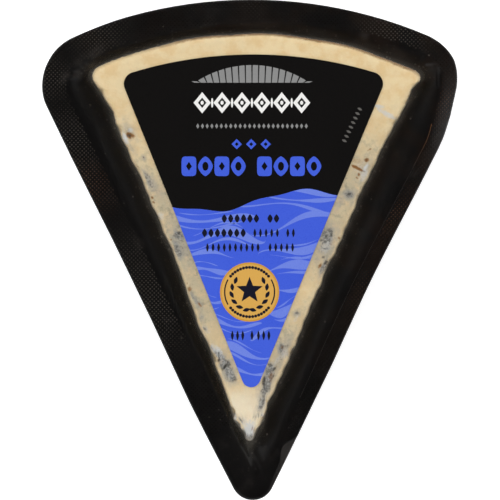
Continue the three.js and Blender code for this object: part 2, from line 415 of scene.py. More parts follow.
    def rim_height(self, x: Array, y: Array, share: Array | float) -> Array:
        """Gives the height of the rim's upper face: share 0 is its inner edge and 1 its outer edge.

        Args:
            x, y: The place.
            share: 0 at the inner edge, 1 at the outer.

        Returns:
            The height in millimetres.
        """
        around = np.arctan2(y, x)
        wave = np.sin(3 * around + 0.8) + 0.6 * np.sin(5 * around + 2.1)
        near_corner = np.exp(-(((x - 48) / 11) ** 2) - ((y - 34) / 13) ** 2)
        near_tip = smooth((-y - 46) / 16)
        droop = self.corner_droop * near_corner * share**1.5 + self.tip_droop * near_tip * share
        return self.seal_height + self.rim_wave * wave * (0.35 + 0.65 * share) - droop

    def band_height(self, x: Array, y: Array, share: float) -> Array:
        """Gives the height of the band: share 0 is at the cheese and 1 at the seal."""
        return mix(self.wall_top, self.rim_height(x, y, 0.0), smooth(share))

    def swell(self, inside: Array | float) -> Array:
        """Gives how much the upper face has risen at a distance inside its edge."""
        return self.face_swell * smooth((np.asarray(inside) - self.edge_rounding) / 16)

    def bulge(self, z: float) -> float:
        """Gives how far the cheese stands out at a height."""
        share = smooth((z - self.cheese_bottom) / (self.wall_top - self.cheese_bottom))
        return self.side_bulge * math.sin(math.pi * float(share))


DRAWING = PackDrawing()


def frame_shift() -> tuple[float, float]:
    """Gives what takes the drawing to the frame: the lid film's box in the frame sets it, in millimetres.

    Returns:
        The shift along X and Y.
    """
    low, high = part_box("lid_film")
    edge = DRAWING.drawn_edge((7, 25, 5, 26, 5, 24))
    middle = (edge.points.min(0) + edge.points.max(0)) / 2
    return (low.x + high.x) / 2 / MM - middle[0], (low.y + high.y) / 2 / MM - middle[1]


SHIFT = frame_shift()


class Piece:
    """Makes the meshes of the pack's pieces and puts them in the frame."""

    @staticmethod
    def place(name: str, mesh: Mesh, slot: str, material: Material) -> Object:
        """Puts a mesh in the scene as a piece of the object.

        Args:
            name: The piece's name.
            mesh: Its mesh, already in the frame's metres.
            slot: The record's material slot; not used.
            material: Its finish.

        Returns:
            The new object, which rides on the pack's one body.
        """
        mesh.materials.clear()
        mesh.materials.append(material)
        thing = bpy.data.objects.new(name, mesh)
        bpy.context.scene.collection.objects.link(thing)
        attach(thing, BODY)
        LOG.info("%s: %d faces", name, len(mesh.polygons))
        return thing

    @staticmethod
    def mesh(name: str, points: Array, faces: Sequence[Sequence[int]], smooth_faces: bool = True) -> Mesh:
        """Makes a mesh from points of the drawing.

        Args:
            name: The mesh's name.
            points: One row of X, Y and Z for each point, in millimetres.
            faces: The faces' point numbers, counter-clockwise from outside.
            smooth_faces: Whether the faces are shaded as one smooth surface.

        Returns:
            The mesh, in the frame's metres.
        """
        mesh = bpy.data.meshes.new(name)
        placed = (np.asarray(points, float) + (SHIFT[0], SHIFT[1], 0.0)) * MM
        mesh.from_pydata(placed.tolist(), [], [list(face) for face in faces])
        mesh.polygons.foreach_set("use_smooth", [smooth_faces] * len(mesh.polygons))
        mesh.update()
        return mesh

    @staticmethod
    def attribute(mesh: Mesh, name: str, values: Array) -> None:
        """Stores one number for each point of a mesh, which its material reads by name."""
        layer = mesh.attributes.new(name, "FLOAT", "POINT")
        layer.data.foreach_set("value", np.ravel(values).astype(np.float32))


def quads(rows: int, count: int, closed: bool = True) -> list[list[int]]:
    """Gives the faces between rows of points that share their stations, the rows going inwards or up.

    Args:
        rows: Number of rows.
        count: Points in each.
        closed: Whether a row closes on itself.

    Returns:
        The faces.
    """
    i = np.arange(count if closed else count - 1)
    j = (i + 1) % count
    starts = [k * count for k in range(rows - 1)]
    return np.vstack([np.column_stack((k + i, k + j, k + count + j, k + count + i)) for k in starts]).tolist()


class Loft:
    """A closed body through rings that share their stations, with a fan over each end."""

    def __init__(self, rings: Rings) -> None:
        """Places the rings' points."""
        self.rings = [
            np.column_stack((edge.points, np.broadcast_to(z, len(edge.points)))) for edge, z in rings
        ]

    def points(self, first_height: float, last_height: float) -> Array:
        """Gives the rings' points and then the middle of each fan."""
        middles = [(INSCRIBED.x, INSCRIBED.y, height) for height in (first_height, last_height)]
        return np.vstack((*self.rings, middles))

    def faces(self) -> list[list[int]]:
        """Gives the faces, counter-clockwise from outside where the rings go up the outside.

        Returns:
            The faces.
        """
        count, rows = len(self.rings[0]), len(self.rings)
        i = np.arange(count)
        j = (i + 1) % count
        end, top = rows * count, (rows - 1) * count
        first = np.column_stack((np.full(count, end), j, i))
        last = np.column_stack((np.full(count, end + 1), top + i, top + j))
        return quads(rows, count) + first.tolist() + last.tolist()


@dataclass(frozen=True)
class Pillow:
    """One of the soft ridges that run from the cheese's corner to the seal, in millimetres and degrees."""

    x: float
    y: float
    heading: float
    reach: tuple[float, float]
    width: float
    height: float

    def rise(self, x: Array, y: Array) -> Array:
        """Gives how far it lifts the film at a place.

        Args:
            x, y: The place.

        Returns:
            The lift in millimetres.
        """
        angle = math.radians(self.heading)
        along = (x - self.x) * math.cos(angle) + (y - self.y) * math.sin(angle)
        across = (y - self.y) * math.cos(angle) - (x - self.x) * math.sin(angle)
        near, far = self.reach
        length = smooth((along - near) / 1.2) * smooth((far - along) / 1.2)
        return self.height * length * np.exp(-((across / self.width) ** 2))


@dataclass(frozen=True)
class FilmRelief:
    """The pillows, facet and folds that the two films share between the cheese and the rim."""

    # each pillow's place, heading, reach, width and height
    pillows: tuple[Pillow, ...] = tuple(Pillow(*row) for row in (
        (-38.0, 43.5, 112, (2.6, 7.6), 0.7, 0.5), (-38.0, 43.5, 128, (2.4, 9.0), 0.75, 0.62),
        (-38.0, 43.5, 146, (2.4, 9.6), 0.7, 0.58), (-38.0, 43.5, 163, (2.4, 9.2), 0.8, 0.6),
        (-38.0, 43.5, 182, (2.6, 8.4), 0.7, 0.45), (0.0, -50.2, 262, (0.5, 11.5), 0.9, 0.3),
        (0.4, -50.6, 292, (0.8, 9.5), 0.7, 0.26), (0.0, -49.6, 232, (0.8, 6.5), 0.7, 0.22),
        (41.5, 44.5, 74, (2.0, 6.2), 0.9, 0.3), (41.5, 44.5, 20, (1.5, 5.5), 0.8, 0.25),
    ))
    facet_middle: tuple[float, float] = (45.4, 43.6)
    facet_half: tuple[float, float] = (1.9, 3.1)
    facet_height: float = 0.4
    ripple: float = 0.04

    def rise(self, x: Array, y: Array) -> Array:
        """Gives how far the films stand off their smooth shape at a place, in millimetres.

        Args:
            x, y: The place.

        Returns:
            The rise in millimetres.
        """
        total = sum(pillow.rise(x, y) for pillow in self.pillows)
        across = smooth((self.facet_half[0] - np.abs(x - self.facet_middle[0])) / 0.5)
        along = smooth((self.facet_half[1] - np.abs(y - self.facet_middle[1])) / 0.5)
        waves = self.ripple * fractal(x, y, 0.0, 7.0, 3.7, 2)
        return total + self.facet_height * across * along + waves


RELIEF = FilmRelief()


def rim_rings(seal: Edge, edge: Edge, lift: float) -> Rings:
    """Gives rings over the rim, from the seal's inner edge out to an edge.

    Args:
        seal: The seal's inner edge.
        edge: Where the rings end.
        lift: Distance above the rim.

    Returns:
        The rings.
    """
    rings = []
    for share in np.linspace(0.0, 1.0, 9):
        ring = seal.towards(edge, share)
        relief = RELIEF.rise(ring.x, ring.y) * float(1 - 0.75 * smooth(share / 0.4))
        rings.append((ring, DRAWING.rim_height(ring.x, ring.y, share) + relief + lift))
    return rings


def brim_rings(edge: Edge, foot: Edge, seal: Edge, lift: float, start: int = 1) -> Rings:
    """Gives the films' rings from the cheese out to an edge: the band, then the rim.

    Args:
        edge: The outer edge.
        foot: The line where the films meet the side of the cheese.
        seal: The inner edge of the seal.
        lift: Millimetres above the base film's upper face.
        start: The first of the band's rings.

    Returns:
        Each ring's outline and its heights.
    """
    rings = []
    for share in np.linspace(0.0, 1.0, 17)[start:-1]:
        ring = foot.towards(seal, share)
        relief = RELIEF.rise(ring.x, ring.y) * float(smooth(share / 0.25))
        rings.append((ring, DRAWING.band_height(ring.x, ring.y, share) + relief + lift))
    return rings + rim_rings(seal, edge, lift)


def quarter(steps: int) -> Array:
    """Gives the angles of a rounded edge's bends, from 0 to a quarter turn."""
    return np.radians((np.arange(steps) + 0.5) * 90 / steps)


def lower_edge(edge: Edge, lift: float, steps: int) -> Rings:
    """Gives rings of a surface that keeps a distance from the cheese: its lower edge, upwards.

    Args:
        edge: The cheese.
        lift: Distance kept from it.
        steps: How many rings.

    Returns:
        The rings.
    """
    radius = DRAWING.base_rounding + lift
    rings = [(edge.offset(-DRAWING.base_rounding), DRAWING.cheese_bottom - lift)]
    for a in quarter(steps):
        out = lift - radius * (1 - math.sin(a))
        rings.append((edge.offset(out), DRAWING.cheese_bottom - lift + radius * (1 - math.cos(a))))
    return rings


def upper_edge(edge: Edge, lift: float, steps: int) -> Rings:
    """Gives rings of the same surface's rounded upper edge, from the side inwards.

    Args:
        edge: The cheese.
        lift: Distance kept from it.
        steps: How many rings.

    Returns:
        The rings.
    """
    radius = DRAWING.edge_rounding + lift
    rings = []
    for a in reversed(quarter(steps)):
        out = lift - radius * (1 - math.sin(a))
        rings.append((edge.offset(out), DRAWING.cheese_top + lift - radius * (1 - math.cos(a))))
    return rings


class FaceSurface:
    """The pack's upper face as a height above the floor at any place on the drawing."""

    def __init__(self) -> None:
        """Measures the cheese's outline all round from the middle of the wedge."""
        edge = DRAWING.cheese_edge()
        away = edge.points - (INSCRIBED.x, INSCRIBED.y)
        angles = np.arctan2(away[:, 1], away[:, 0])
        order = np.argsort(angles)
        self.angles = angles[order]
        self.reach = np.hypot(*away.T)[order]

    def inside(self, x: Array, y: Array) -> Array:
        """Gives how far inside the cheese's edge a place is.

        Args:
            x, y: The place.

        Returns:
            The distance in millimetres, less than 0 outside.
        """
        dx, dy = np.asarray(x) - INSCRIBED.x, np.asarray(y) - INSCRIBED.y
        reach = np.interp(np.arctan2(dy, dx), self.angles, self.reach, period=math.tau)
        return INSCRIBED.r * (1 - np.hypot(dx, dy) / reach)

    def height(self, x: Array, y: Array) -> Array:
        """Gives the height of the cheese's smooth upper face, in millimetres."""
        gentle = 0.02 * fractal(x, y, 0.0, 9.0, 8.3, 2)
        return DRAWING.cheese_top + DRAWING.swell(self.inside(x, y)) + gentle

    def middle(self) -> float:
        """Gives its height at the middle of the wedge."""
        return float(self.height(np.array([INSCRIBED.x]), np.array([INSCRIBED.y]))[0])


FACE = FaceSurface()


def linear(red: int, green: int, blue: int) -> tuple[float, float, float, float]:
    """Turns a colour as seen on a screen, 0 to 255, into the shader's linear one."""
    parts = (c / 255 for c in (red, green, blue))
    return (*(c / 12.92 if c <= 0.04045 else ((c + 0.055) / 1.055) ** 2.4 for c in parts), 1.0)


class Graph:
    """Adds and joins the nodes of a material, a world or a node group."""

    def __init__(self, tree: NodeTree) -> None:
        """Empties a tree, so that it can be built."""
        self.tree = tree
        tree.nodes.clear()

    def add(self, kind: str, inputs: dict | None = None, **settings: object) -> bpy.types.Node:
        """Adds a node.

        Args:
            kind: The node's type.
            inputs: Values and sockets for its inputs, by name or number.
            **settings: Values for its other settings.

        Returns:
            The node.
        """
        node = self.tree.nodes.new(kind)
        for name, value in settings.items():
            setattr(node, name, value)
        for key, value in (inputs or {}).items():
            self.feed(node.inputs[key], value)
        return node

    def out(self, kind: str, inputs: dict | None = None, **settings: object) -> Socket:
        """Adds a node and gives its first output."""
        return self.add(kind, inputs, **settings).outputs[0]

    def feed(self, socket: Socket, value: object) -> None:
        """Joins a socket to another one, or gives it a value.

        Args:
            socket: The input.
            value: A socket, a number or a colour.
        """
        if isinstance(value, Socket):
            self.tree.links.new(value, socket)
        else:
            socket.default_value = value

    def mix_colour(self, factor: object, first: object, second: object) -> Socket:
        """Goes from one colour to another as the factor goes from 0 to 1."""
        inputs = {0: factor, 6: first, 7: second}
        return self.add("ShaderNodeMix", inputs, data_type="RGBA", clamp_factor=True).outputs[2]

    def maths(self, operation: str, *values: object, clamp: bool = False) -> Socket:
        """Does arithmetic on sockets and numbers, and can keep the result from 0 to 1."""
        return self.out("ShaderNodeMath", dict(enumerate(values)), operation=operation, use_clamp=clamp)

    def times(self, first: object, second: object) -> Socket:
        """Multiplies two values."""
        return self.maths("MULTIPLY", first, second)

    def layered(self, colour: object, layers: Sequence[tuple[object, Tone]]) -> object:
        """Lays colours over a first one, each as strongly as its mask says.

        Args:
            colour: The first colour.
            layers: A mask and a colour for each layer.

        Returns:
            The colour on top.
        """
        for mask, tone in layers:
            colour = self.mix_colour(mask, colour, linear(*tone))
        return colour

    def surface(self, shader: bpy.types.Node) -> None:
        """Ends a material with its shader."""
        self.add("ShaderNodeOutputMaterial", {"Surface": shader.outputs[0]})

    def noise(self, place: object, scale: object, detail: float = 3.0, rough: float = 0.55) -> Socket:
        """Gives noise over the object's own coordinates, where scale is lumps to a metre."""
        inputs = {"Vector": place, "Scale": scale, "Detail": detail, "Roughness": rough}
        return self.out("ShaderNodeTexNoise", inputs)

    def ramp(self, value: object, low: float, high: float, top: float = 1.0) -> Socket:
        """Eases from 0 to top as a value goes from low to high."""
        inputs = {"Value": value, "From Min": low, "From Max": high, "To Min": 0.0, "To Max": top}
        return self.add("ShaderNodeMapRange", inputs, interpolation_type="SMOOTHSTEP").outputs["Result"]

    def here(self) -> Socket:
        """Gives the place on the object."""
        return self.add("ShaderNodeTexCoord").outputs["Object"]

    def stored(self, name: str) -> Socket:
        """Gives a number stored with the mesh."""
        return self.add("ShaderNodeAttribute", attribute_name=name).outputs["Fac"]

    def fading(self, away: object, reach: float, most: object) -> Socket:
        """Gives a value that is most where away is 0 and dies away over the reach, as a power of e."""
        steps = self.maths("DIVIDE", self.maths("MAXIMUM", away, 0.0), -reach)
        return self.times(self.maths("EXPONENT", steps), most)

    def bump(self, height: object, distance: float, strength: float = 1.0) -> Socket:
        """Turns a height of 0 to 1 into a normal, where distance is the height of 1 in metres."""
        inputs = {"Height": height, "Distance": distance, "Strength": strength}
        return self.add("ShaderNodeBump", inputs).outputs["Normal"]

    def ripple(
        self, shared: "SharedEffects", place: Socket, slack: float, wrinkle: float, share: float
    ) -> Socket:
        """Gives the height of a film's slack and wrinkles."""
        inputs = {"Place": place, "Slack": slack, "Wrinkle": wrinkle, "Share": share}
        return self.group(shared.film_ripple, inputs)

    def group(self, tree: NodeTree, inputs: dict) -> Socket:
        """Adds a node group with values for its inputs, and gives its output."""
        return self.out("ShaderNodeGroup", inputs, node_tree=tree)


def node_group(
    name: str, kind: str, inputs: dict[str, str], output: tuple[str, str]
) -> tuple[Graph, bpy.types.NodeOutputs]:
    """Starts a node group.

    Args:
        name: The group's name.
        kind: What the group is for, as Blender calls it.
        inputs: The type of each input, by name.
        output: The output's name and type.

    Returns:
        The graph to build it with, and the group's inputs.
    """
    tree = bpy.data.node_groups.new(name, f"{kind}NodeTree")
    for side, sockets in (("INPUT", inputs), ("OUTPUT", dict([output]))):
        for label, value in sockets.items():
            tree.interface.new_socket(label, in_out=side, socket_type=f"NodeSocket{value}")
    graph = Graph(tree)
    return graph, graph.add("NodeGroupInput").outputs


class SharedEffects:
    """The effects that more than one finish uses, each a node group that is built once."""

    def __init__(self) -> None:
        """Builds the groups."""
        self.film_ripple = self._film_ripple()
        self.specks = self._specks()
        self.print_grain = self._print_grain()

    @staticmethod
    def _film_ripple() -> NodeTree:
        """Builds the slack and the fine wrinkles of thin film, as a height of 0 to 1.

        Returns:
            The group's tree.
        """
        inputs = {"Place": "Vector", "Slack": "Float", "Wrinkle": "Float", "Share": "Float"}
        graph, given = node_group("film_ripple", "Shader", inputs, ("Height", "Float"))
        slack = graph.noise(given["Place"], given["Slack"], 2.0, 0.5)
        wrinkle = graph.noise(given["Place"], given["Wrinkle"], 3.0, 0.5)
        height = graph.maths("ADD", slack, graph.times(wrinkle, given["Share"]))
        graph.add("NodeGroupOutput", {"Height": height})
        return graph.tree

    @staticmethod
    def _specks() -> NodeTree:
        """Builds the scattered dust specks of a film, as a mask.

        Returns:
            The group's tree.
        """
        inputs = {"Place": "Vector", "Scale": "Float", "Size": "Float"}
        graph, given = node_group("specks", "Shader", inputs, ("Mask", "Float"))
        cells = graph.add("ShaderNodeTexVoronoi", {"Vector": given["Place"], "Scale": given["Scale"]})
        near = graph.maths("LESS_THAN", cells.outputs["Distance"], given["Size"])
        tint = graph.add("ShaderNodeSeparateColor", {"Color": cells.outputs["Color"]})
        few = graph.maths("GREATER_THAN", tint.outputs["Red"], 0.8)
        graph.add("NodeGroupOutput", {"Mask": graph.times(near, few)})
        return graph.tree

    @staticmethod
    def _print_grain() -> NodeTree:
        """Builds the fine grain of print on a label, as a mask around a half.

        Returns:
            The group's tree.
        """
        inputs = {"Place": "Vector", "Scale": "Float", "Depth": "Float"}
        graph, given = node_group("print_grain", "Shader", inputs, ("Mask", "Float"))
        grain = graph.noise(given["Place"], given["Scale"], 2.0, 0.5)
        scaled = graph.times(graph.maths("SUBTRACT", grain, 0.5), given["Depth"])
        graph.add("NodeGroupOutput", {"Mask": graph.maths("ADD", scaled, 0.5)})
        return graph.tree


def new_material(name: str) -> tuple[Material, Graph]:
    """Makes an empty material and the graph to build it with.

    Args:
        name: The material's name.

    Returns:
        The material and its graph.
    """
    material = bpy.data.materials.new(name)
    material.use_nodes = True
    return material, Graph(material.node_tree)


@dataclass(frozen=True)
class BlackFilm:
    """The base film: black, a little brown at its top and right, with dust and a painted highlight where it
    leaves the cheese.
    """

    name: str = "black_film"
    dark: Tone = (11, 10, 10)
    warm: Tone = (22, 15, 11)
    # grey of dust and crumbs, also used for the painted highlight by the cheese and the painted soft light on
    # the folds
    dust_and_sheen: Tone = (96, 90, 84)
    dust_and_sheen_reach: float = 1.6
    dust_and_sheen_most: float = 0.16
    roughness: float = 0.36
    specular: float = 0.3

    def build(self, shared: SharedEffects) -> Material:
        """Builds the material.

        Args:
            shared: The effects that looks share.

        Returns:
            The material.
        """
        material, graph = new_material(self.name)
        place = graph.here()
        outside = graph.stored("outside")
        patchy = graph.noise(place, 700.0, 4.0, 0.65)
        specks = graph.group(shared.specks, {"Place": place, "Scale": 420.0, "Size": 0.11})
        crumbs = graph.group(shared.specks, {"Place": place, "Scale": 1100.0, "Size": 0.3})
        patch = graph.ramp(graph.noise(place, 420.0, 4.0, 0.6), 0.2, 0.6, 0.13)
        # dust, specks and crumbs, with a painted highlight fading out from the cheese and painted soft light
        # on the corner's folds
        dust_and_sheen_masks = (
            graph.fading(outside, self.dust_and_sheen_reach, graph.times(patchy, self.dust_and_sheen_most)),
            graph.times(specks, graph.ramp(outside, 9.0, 1.0, 0.6)),
            graph.times(crumbs, graph.fading(outside, 1.3, 0.75)),
            graph.times(patch, graph.stored("soft_light")),
            graph.ramp(graph.noise(place, 130.0, 5.0, 0.7), 0.56, 0.8, 0.08),
        )
        colour = graph.mix_colour(warmth(graph, place), linear(*self.dark), linear(*self.warm))
        colour = graph.layered(colour, [(mask, self.dust_and_sheen) for mask in dust_and_sheen_masks])
        ripple = graph.ripple(shared, place, 160.0, 900.0, 0.2)
        inputs = {
            "Base Color": colour,
            "Roughness": graph.maths("MULTIPLY_ADD", graph.noise(place, 240.0), 0.16, self.roughness - 0.08),
            "Specular IOR Level": self.specular,
            "Normal": graph.bump(ripple, 0.00006),
        }
        graph.surface(graph.add("ShaderNodeBsdfPrincipled", inputs))
        return material


def warmth(graph: Graph, place: Socket) -> Socket:
    """Gives where the black film looks brown: in patches, and most at the top and the right of the pack.

    Args:
        graph: The material's graph.
        place: The position.

    Returns:
        A mask, 0 to 1.
    """
    across = graph.add("ShaderNodeSeparateXYZ", {0: place})
    right = graph.ramp(across.outputs["X"], -0.01, 0.04, 0.8)
    top = graph.ramp(across.outputs["Y"], 0.035, 0.06, 0.5)
    patches = graph.ramp(graph.noise(place, 110.0, 5.0, 0.65), 0.4, 0.6)
    return graph.times(graph.maths("ADD", right, top, clamp=True), patches)


@dataclass(frozen=True)
class KnurledFilm:
    """The beads of the heat seal: black film with painted highlights, so that some stretches look to catch
    the light more than others.
    """

    name: str = "knurled_film"
    dim: Tone = (16, 13, 11)
    painted_glint: Tone = (74, 70, 64)
    warm: Tone = (80, 57, 42)
    # the middle of each spot of painted highlight and how far it reaches, in millimetres
    lit_spots: Spots = (
        (-28.0, -12.0, 26.0), (-50.0, 43.0, 9.0), (-46.0, 27.0, 14.0), (-38.0, 54.0, 12.0),
        (36.0, 54.5, 15.0),
    )
    warm_spots: Spots = ((43.0, 10.0, 46.0), (51.0, 38.0, 16.0), (-42.0, 16.0, 13.0))

    def build(self) -> Material:
        """Builds the material.

        Returns:
            The material.
        """
        material, graph = new_material(self.name)
        place = graph.here()
        patches = graph.noise(place, 60.0, 2.0, 0.5)
        warm = graph.times(self._spots(graph, place, self.warm_spots, 0.0), graph.ramp(patches, 0.3, 0.6))
        painted_glint_mask = self._spots(graph, place, self.lit_spots, graph.ramp(patches, 0.48, 0.72, 0.34))
        colour = graph.layered(linear(*self.dim), ((warm, self.warm), (painted_glint_mask, self.painted_glint)))
        inputs = {"Base Color": colour, "Roughness": 0.4, "Specular IOR Level": 0.13}
        graph.surface(graph.add("ShaderNodeBsdfPrincipled", inputs))
        return material

    @staticmethod
    def _spots(graph: Graph, place: object, spots: Spots, least: object) -> object:
        """Gives a value that rises towards the middle of each spot, and is never under the least.

        Args:
            graph: The graph.
            place: The position.
            spots: Middles and reaches.
            least: The floor.

        Returns:
            The value.
        """
        for x, y, reach in spots:
            spot = ((x + SHIFT[0]) * MM, (y + SHIFT[1]) * MM, DRAWING.seal_height * MM)
            away = graph.add("ShaderNodeVectorMath", {0: place, 1: spot}, operation="DISTANCE")
            least = graph.maths("MAXIMUM", least, graph.ramp(away.outputs["Value"], reach * MM, 0.0, 0.9))
        return least


@dataclass(frozen=True)
class CheesePaste:
    """Moist blue cheese: cream paste, blue-grey mould, rusty pockets, a pale bloom and a thin rind."""

    name: str = "cheese_paste"
    cream: Tone = (229, 200, 150)
    pale: Tone = (237, 215, 171)
    peach: Tone = (240, 205, 156)
    aged: Tone = (186, 175, 148)
    olive: Tone = (158, 150, 128)
    haze: Tone = (150, 150, 149)
    # painted reflection of the film over the tip
    tip_glare: Tone = (246, 242, 228)
    mould: Tone = (154, 154, 150)
    crease: Tone = (92, 91, 88)
    dark_mould: Tone = (78, 75, 69)
    rust: Tone = (140, 98, 54)
    bloom: Tone = (208, 208, 205)
    rind: Tone = (158, 124, 84)

    def build(self) -> Material:
        """Builds the material.

        Returns:
            The material.
        """
        material, graph = new_material(self.name)
        place = graph.here()
        clouds = graph.noise(place, 210.0, 4.0, 0.6)
        curds = graph.noise(place, 640.0, 5.0, 0.68)
        fine = graph.noise(place, 1900.0, 4.0, 0.7)
        aged, inside = graph.stored("aged"), graph.stored("inside")
        warm_spots = graph.ramp(graph.noise(place, 380.0, 6.0, 0.72), 0.42, 0.78, 0.62)
        smear = graph.ramp(graph.maths("MULTIPLY_ADD", clouds, 0.6, graph.times(curds, 0.6)), 0.6, 0.74)
        mould = self._layer(graph, "mould", curds, fine)
        fissure = graph.maths("ABSOLUTE", graph.maths("SUBTRACT", graph.noise(place, 900.0, 4.0, 0.7), 0.5))
        creases = graph.times(graph.ramp(fissure, 0.06, 0.0), graph.ramp(mould, 0.1, 0.6))
        skin = graph.ramp(graph.maths("MULTIPLY_ADD", fine, 0.8, inside), 1.3, 0.65)
        layers = (
            (graph.ramp(clouds, 0.38, 0.62), self.pale),
            (aged, self.aged),
            (graph.times(warm_spots, aged), self.peach),
            (graph.times(smear, aged), self.olive),
            (graph.stored("tip_glare"), self.tip_glare),
            (graph.times(graph.stored("haze"), graph.ramp(curds, 0.26, 0.56)), self.haze),
            (graph.times(graph.ramp(fine, 0.53, 0.74, 0.6), aged), self.olive),
            # paler within a millimetre of the edge: painted light that lifts the shade of the rounded edge
            (graph.ramp(graph.maths("MULTIPLY_ADD", curds, 0.8, inside), 1.6, 0.6, 0.55), self.pale),
            (self._layer(graph, "bloom", curds, fine), self.bloom),
            (graph.times(mould, 0.8), self.mould),
            (graph.times(creases, 0.6), self.crease),
            (graph.times(graph.ramp(fine, 0.53, 0.66, 0.85), mould), self.bloom),
            (self._layer(graph, "rust", curds, fine), self.rust),
            (graph.times(self._layer(graph, "dark", curds, fine), 0.85), self.dark_mould),
            (graph.times(skin, graph.stored("rind")), self.rind),
        )
        colour = graph.layered(linear(*self.cream), layers)
        height = graph.maths("ADD", curds, graph.times(fine, 0.5))
        height = graph.maths("SUBTRACT", height, graph.times(creases, 0.7))
        inputs = {
            "Base Color": colour,
            "Roughness": graph.maths("MULTIPLY_ADD", curds, 0.2, 0.42),
            "Specular IOR Level": 0.35,
            "Subsurface Weight": 0.12,
            "Subsurface Radius": (0.0012, 0.0008, 0.0005),
            "Subsurface Scale": 1.0,
            "Normal": graph.bump(height, 0.00014),
        }
        graph.surface(graph.add("ShaderNodeBsdfPrincipled", inputs))
        return material

    @staticmethod
    def _layer(graph: Graph, name: str, curds: object, fine: object) -> Socket:
        """Gives a stored mark whose edges are eaten into by the texture of the cheese."""
        ragged = graph.maths("MULTIPLY_ADD", curds, 0.9, graph.times(fine, 0.9))
        limit = graph.maths("SUBTRACT", ragged, 0.9)
        return graph.ramp(graph.maths("SUBTRACT", graph.stored(name), limit), 0.2, 0.95)


@dataclass(frozen=True)
class ClearFilm:
    """The lid film: clear, with a faint haze and a painted highlight where it bridges from the cheese down to
    the base film.
    """

    name: str = "clear_film"
    roughness: float = 0.2
    # tone of the haze, which also paints the film's highlight along the cheese's edge
    haze: Tone = (190, 182, 168)
    haze_and_sheen_reach: float = 0.46
    haze_and_sheen_most: float = 0.125

    def build(self, shared: SharedEffects) -> Material:
        """Builds the material.

        Args:
            shared: The effects that looks share.

        Returns:
            The material.
        """
        material, graph = new_material(self.name)
        place = graph.here()
        ripple = graph.ripple(shared, place, 200.0, 1100.0, 0.35)
        normal = graph.bump(ripple, 0.0001)
        clear = graph.out("ShaderNodeBsdfTransparent", {"Color": (0.985, 0.985, 0.985, 1.0)})
        sheen = graph.out("ShaderNodeBsdfGlossy", {"Roughness": self.roughness, "Normal": normal})
        fresnel = graph.out("ShaderNodeFresnel", {"IOR": 1.38, "Normal": normal})
        outward = graph.maths("SUBTRACT", 1.0, graph.add("ShaderNodeNewGeometry").outputs["Backfacing"])
        beside = graph.maths("ABSOLUTE", graph.maths("ADD", graph.stored("outside"), 0.3))
        most = graph.maths("ADD", graph.ramp(beside, 1.2, 2.4, 0.3), 0.008)
        slanted = graph.maths("SUBTRACT", fresnel, 0.03, clamp=True)
        mirror = graph.times(graph.maths("MINIMUM", slanted, most), outward)
        film = graph.out("ShaderNodeMixShader", {0: mirror, 1: clear, 2: sheen})
        # diffuse haze that also stands in as a painted highlight by the cheese's edge
        haze_and_sheen = graph.out("ShaderNodeBsdfDiffuse", {"Color": linear(*self.haze), "Normal": normal})
        stray = graph.maths("SUBTRACT", 0.5, graph.noise(place, 1900.0, 5.0, 0.75))
        off = graph.maths("MULTIPLY_ADD", stray, 2.2, graph.stored("outside"))
        rising = graph.ramp(graph.stored("outside"), -0.5, 0.0)
        falling = graph.fading(off, self.haze_and_sheen_reach, self.haze_and_sheen_most)
        specks = graph.group(shared.specks, {"Place": place, "Scale": 330.0, "Size": 0.07})
        amount = graph.maths("MAXIMUM", graph.times(rising, falling), graph.times(specks, 0.03))
        graph.surface(graph.add("ShaderNodeMixShader", {0: amount, 1: film, 2: haze_and_sheen}))
        return material


@dataclass(frozen=True)
class Ink:
    """A printed ink or label stock, with a soft sheen and a fine grain."""

    name: str
    tone: Tone
    shade: Tone
    roughness: float = 0.3
    metallic: float = 0.0

    def build(self, shared: SharedEffects) -> Material:
        """Builds the material.

        Args:
            shared: The effects that looks share.

        Returns:
            The material.
        """
        material, graph = new_material(self.name)
        place = graph.here()
        grain = graph.group(shared.print_grain, {"Place": place, "Scale": 5200.0, "Depth": 1.6})
        broad = graph.noise(place, 60.0, 2.0)
        blend = graph.maths("MULTIPLY_ADD", broad, 0.5, graph.times(grain, 0.5), clamp=True)
        ripple = graph.ripple(shared, place, 90.0, 1600.0, 0.06)
        inputs = {
            "Base Color": graph.mix_colour(blend, linear(*self.shade), linear(*self.tone)),
            "Roughness": graph.maths("MULTIPLY_ADD", grain, 0.08, self.roughness - 0.04),
            "Metallic": self.metallic,
            "Specular IOR Level": 0.3,
            "Normal": graph.bump(ripple, 0.00006),
        }
        graph.surface(graph.add("ShaderNodeBsdfPrincipled", inputs))
        return material


class LabelInk(Enum):
    """The inks of the label."""

    BLACK = Ink("label_black", (18, 16, 15), (13, 12, 12))
    BLUE = Ink("label_blue", (66, 100, 224), (45, 77, 209))
    PALE_BLUE = Ink("label_pale_blue", (120, 144, 231), (88, 112, 217))
    DARK = Ink("label_dark", (24, 25, 42), (16, 17, 30))
    WHITE = Ink("label_white", (244, 243, 240), (232, 231, 228))
    GREY = Ink("label_grey", (146, 146, 145), (126, 126, 126))
    DIM_GREY = Ink("label_dim_grey", (104, 101, 97), (82, 80, 77))
    GOLD = Ink("label_gold", (224, 174, 84), (207, 156, 66), 0.36)
    DEEP_GOLD = Ink("label_deep_gold", (214, 158, 58), (198, 142, 46), 0.36)


class Mark(Enum):
    """The kinds of mark in the cheese, each named as the mask that it is stored in."""

    MOULD = "mould"
    DARK = "dark"
    RUST = "rust"
    BLOOM = "bloom"


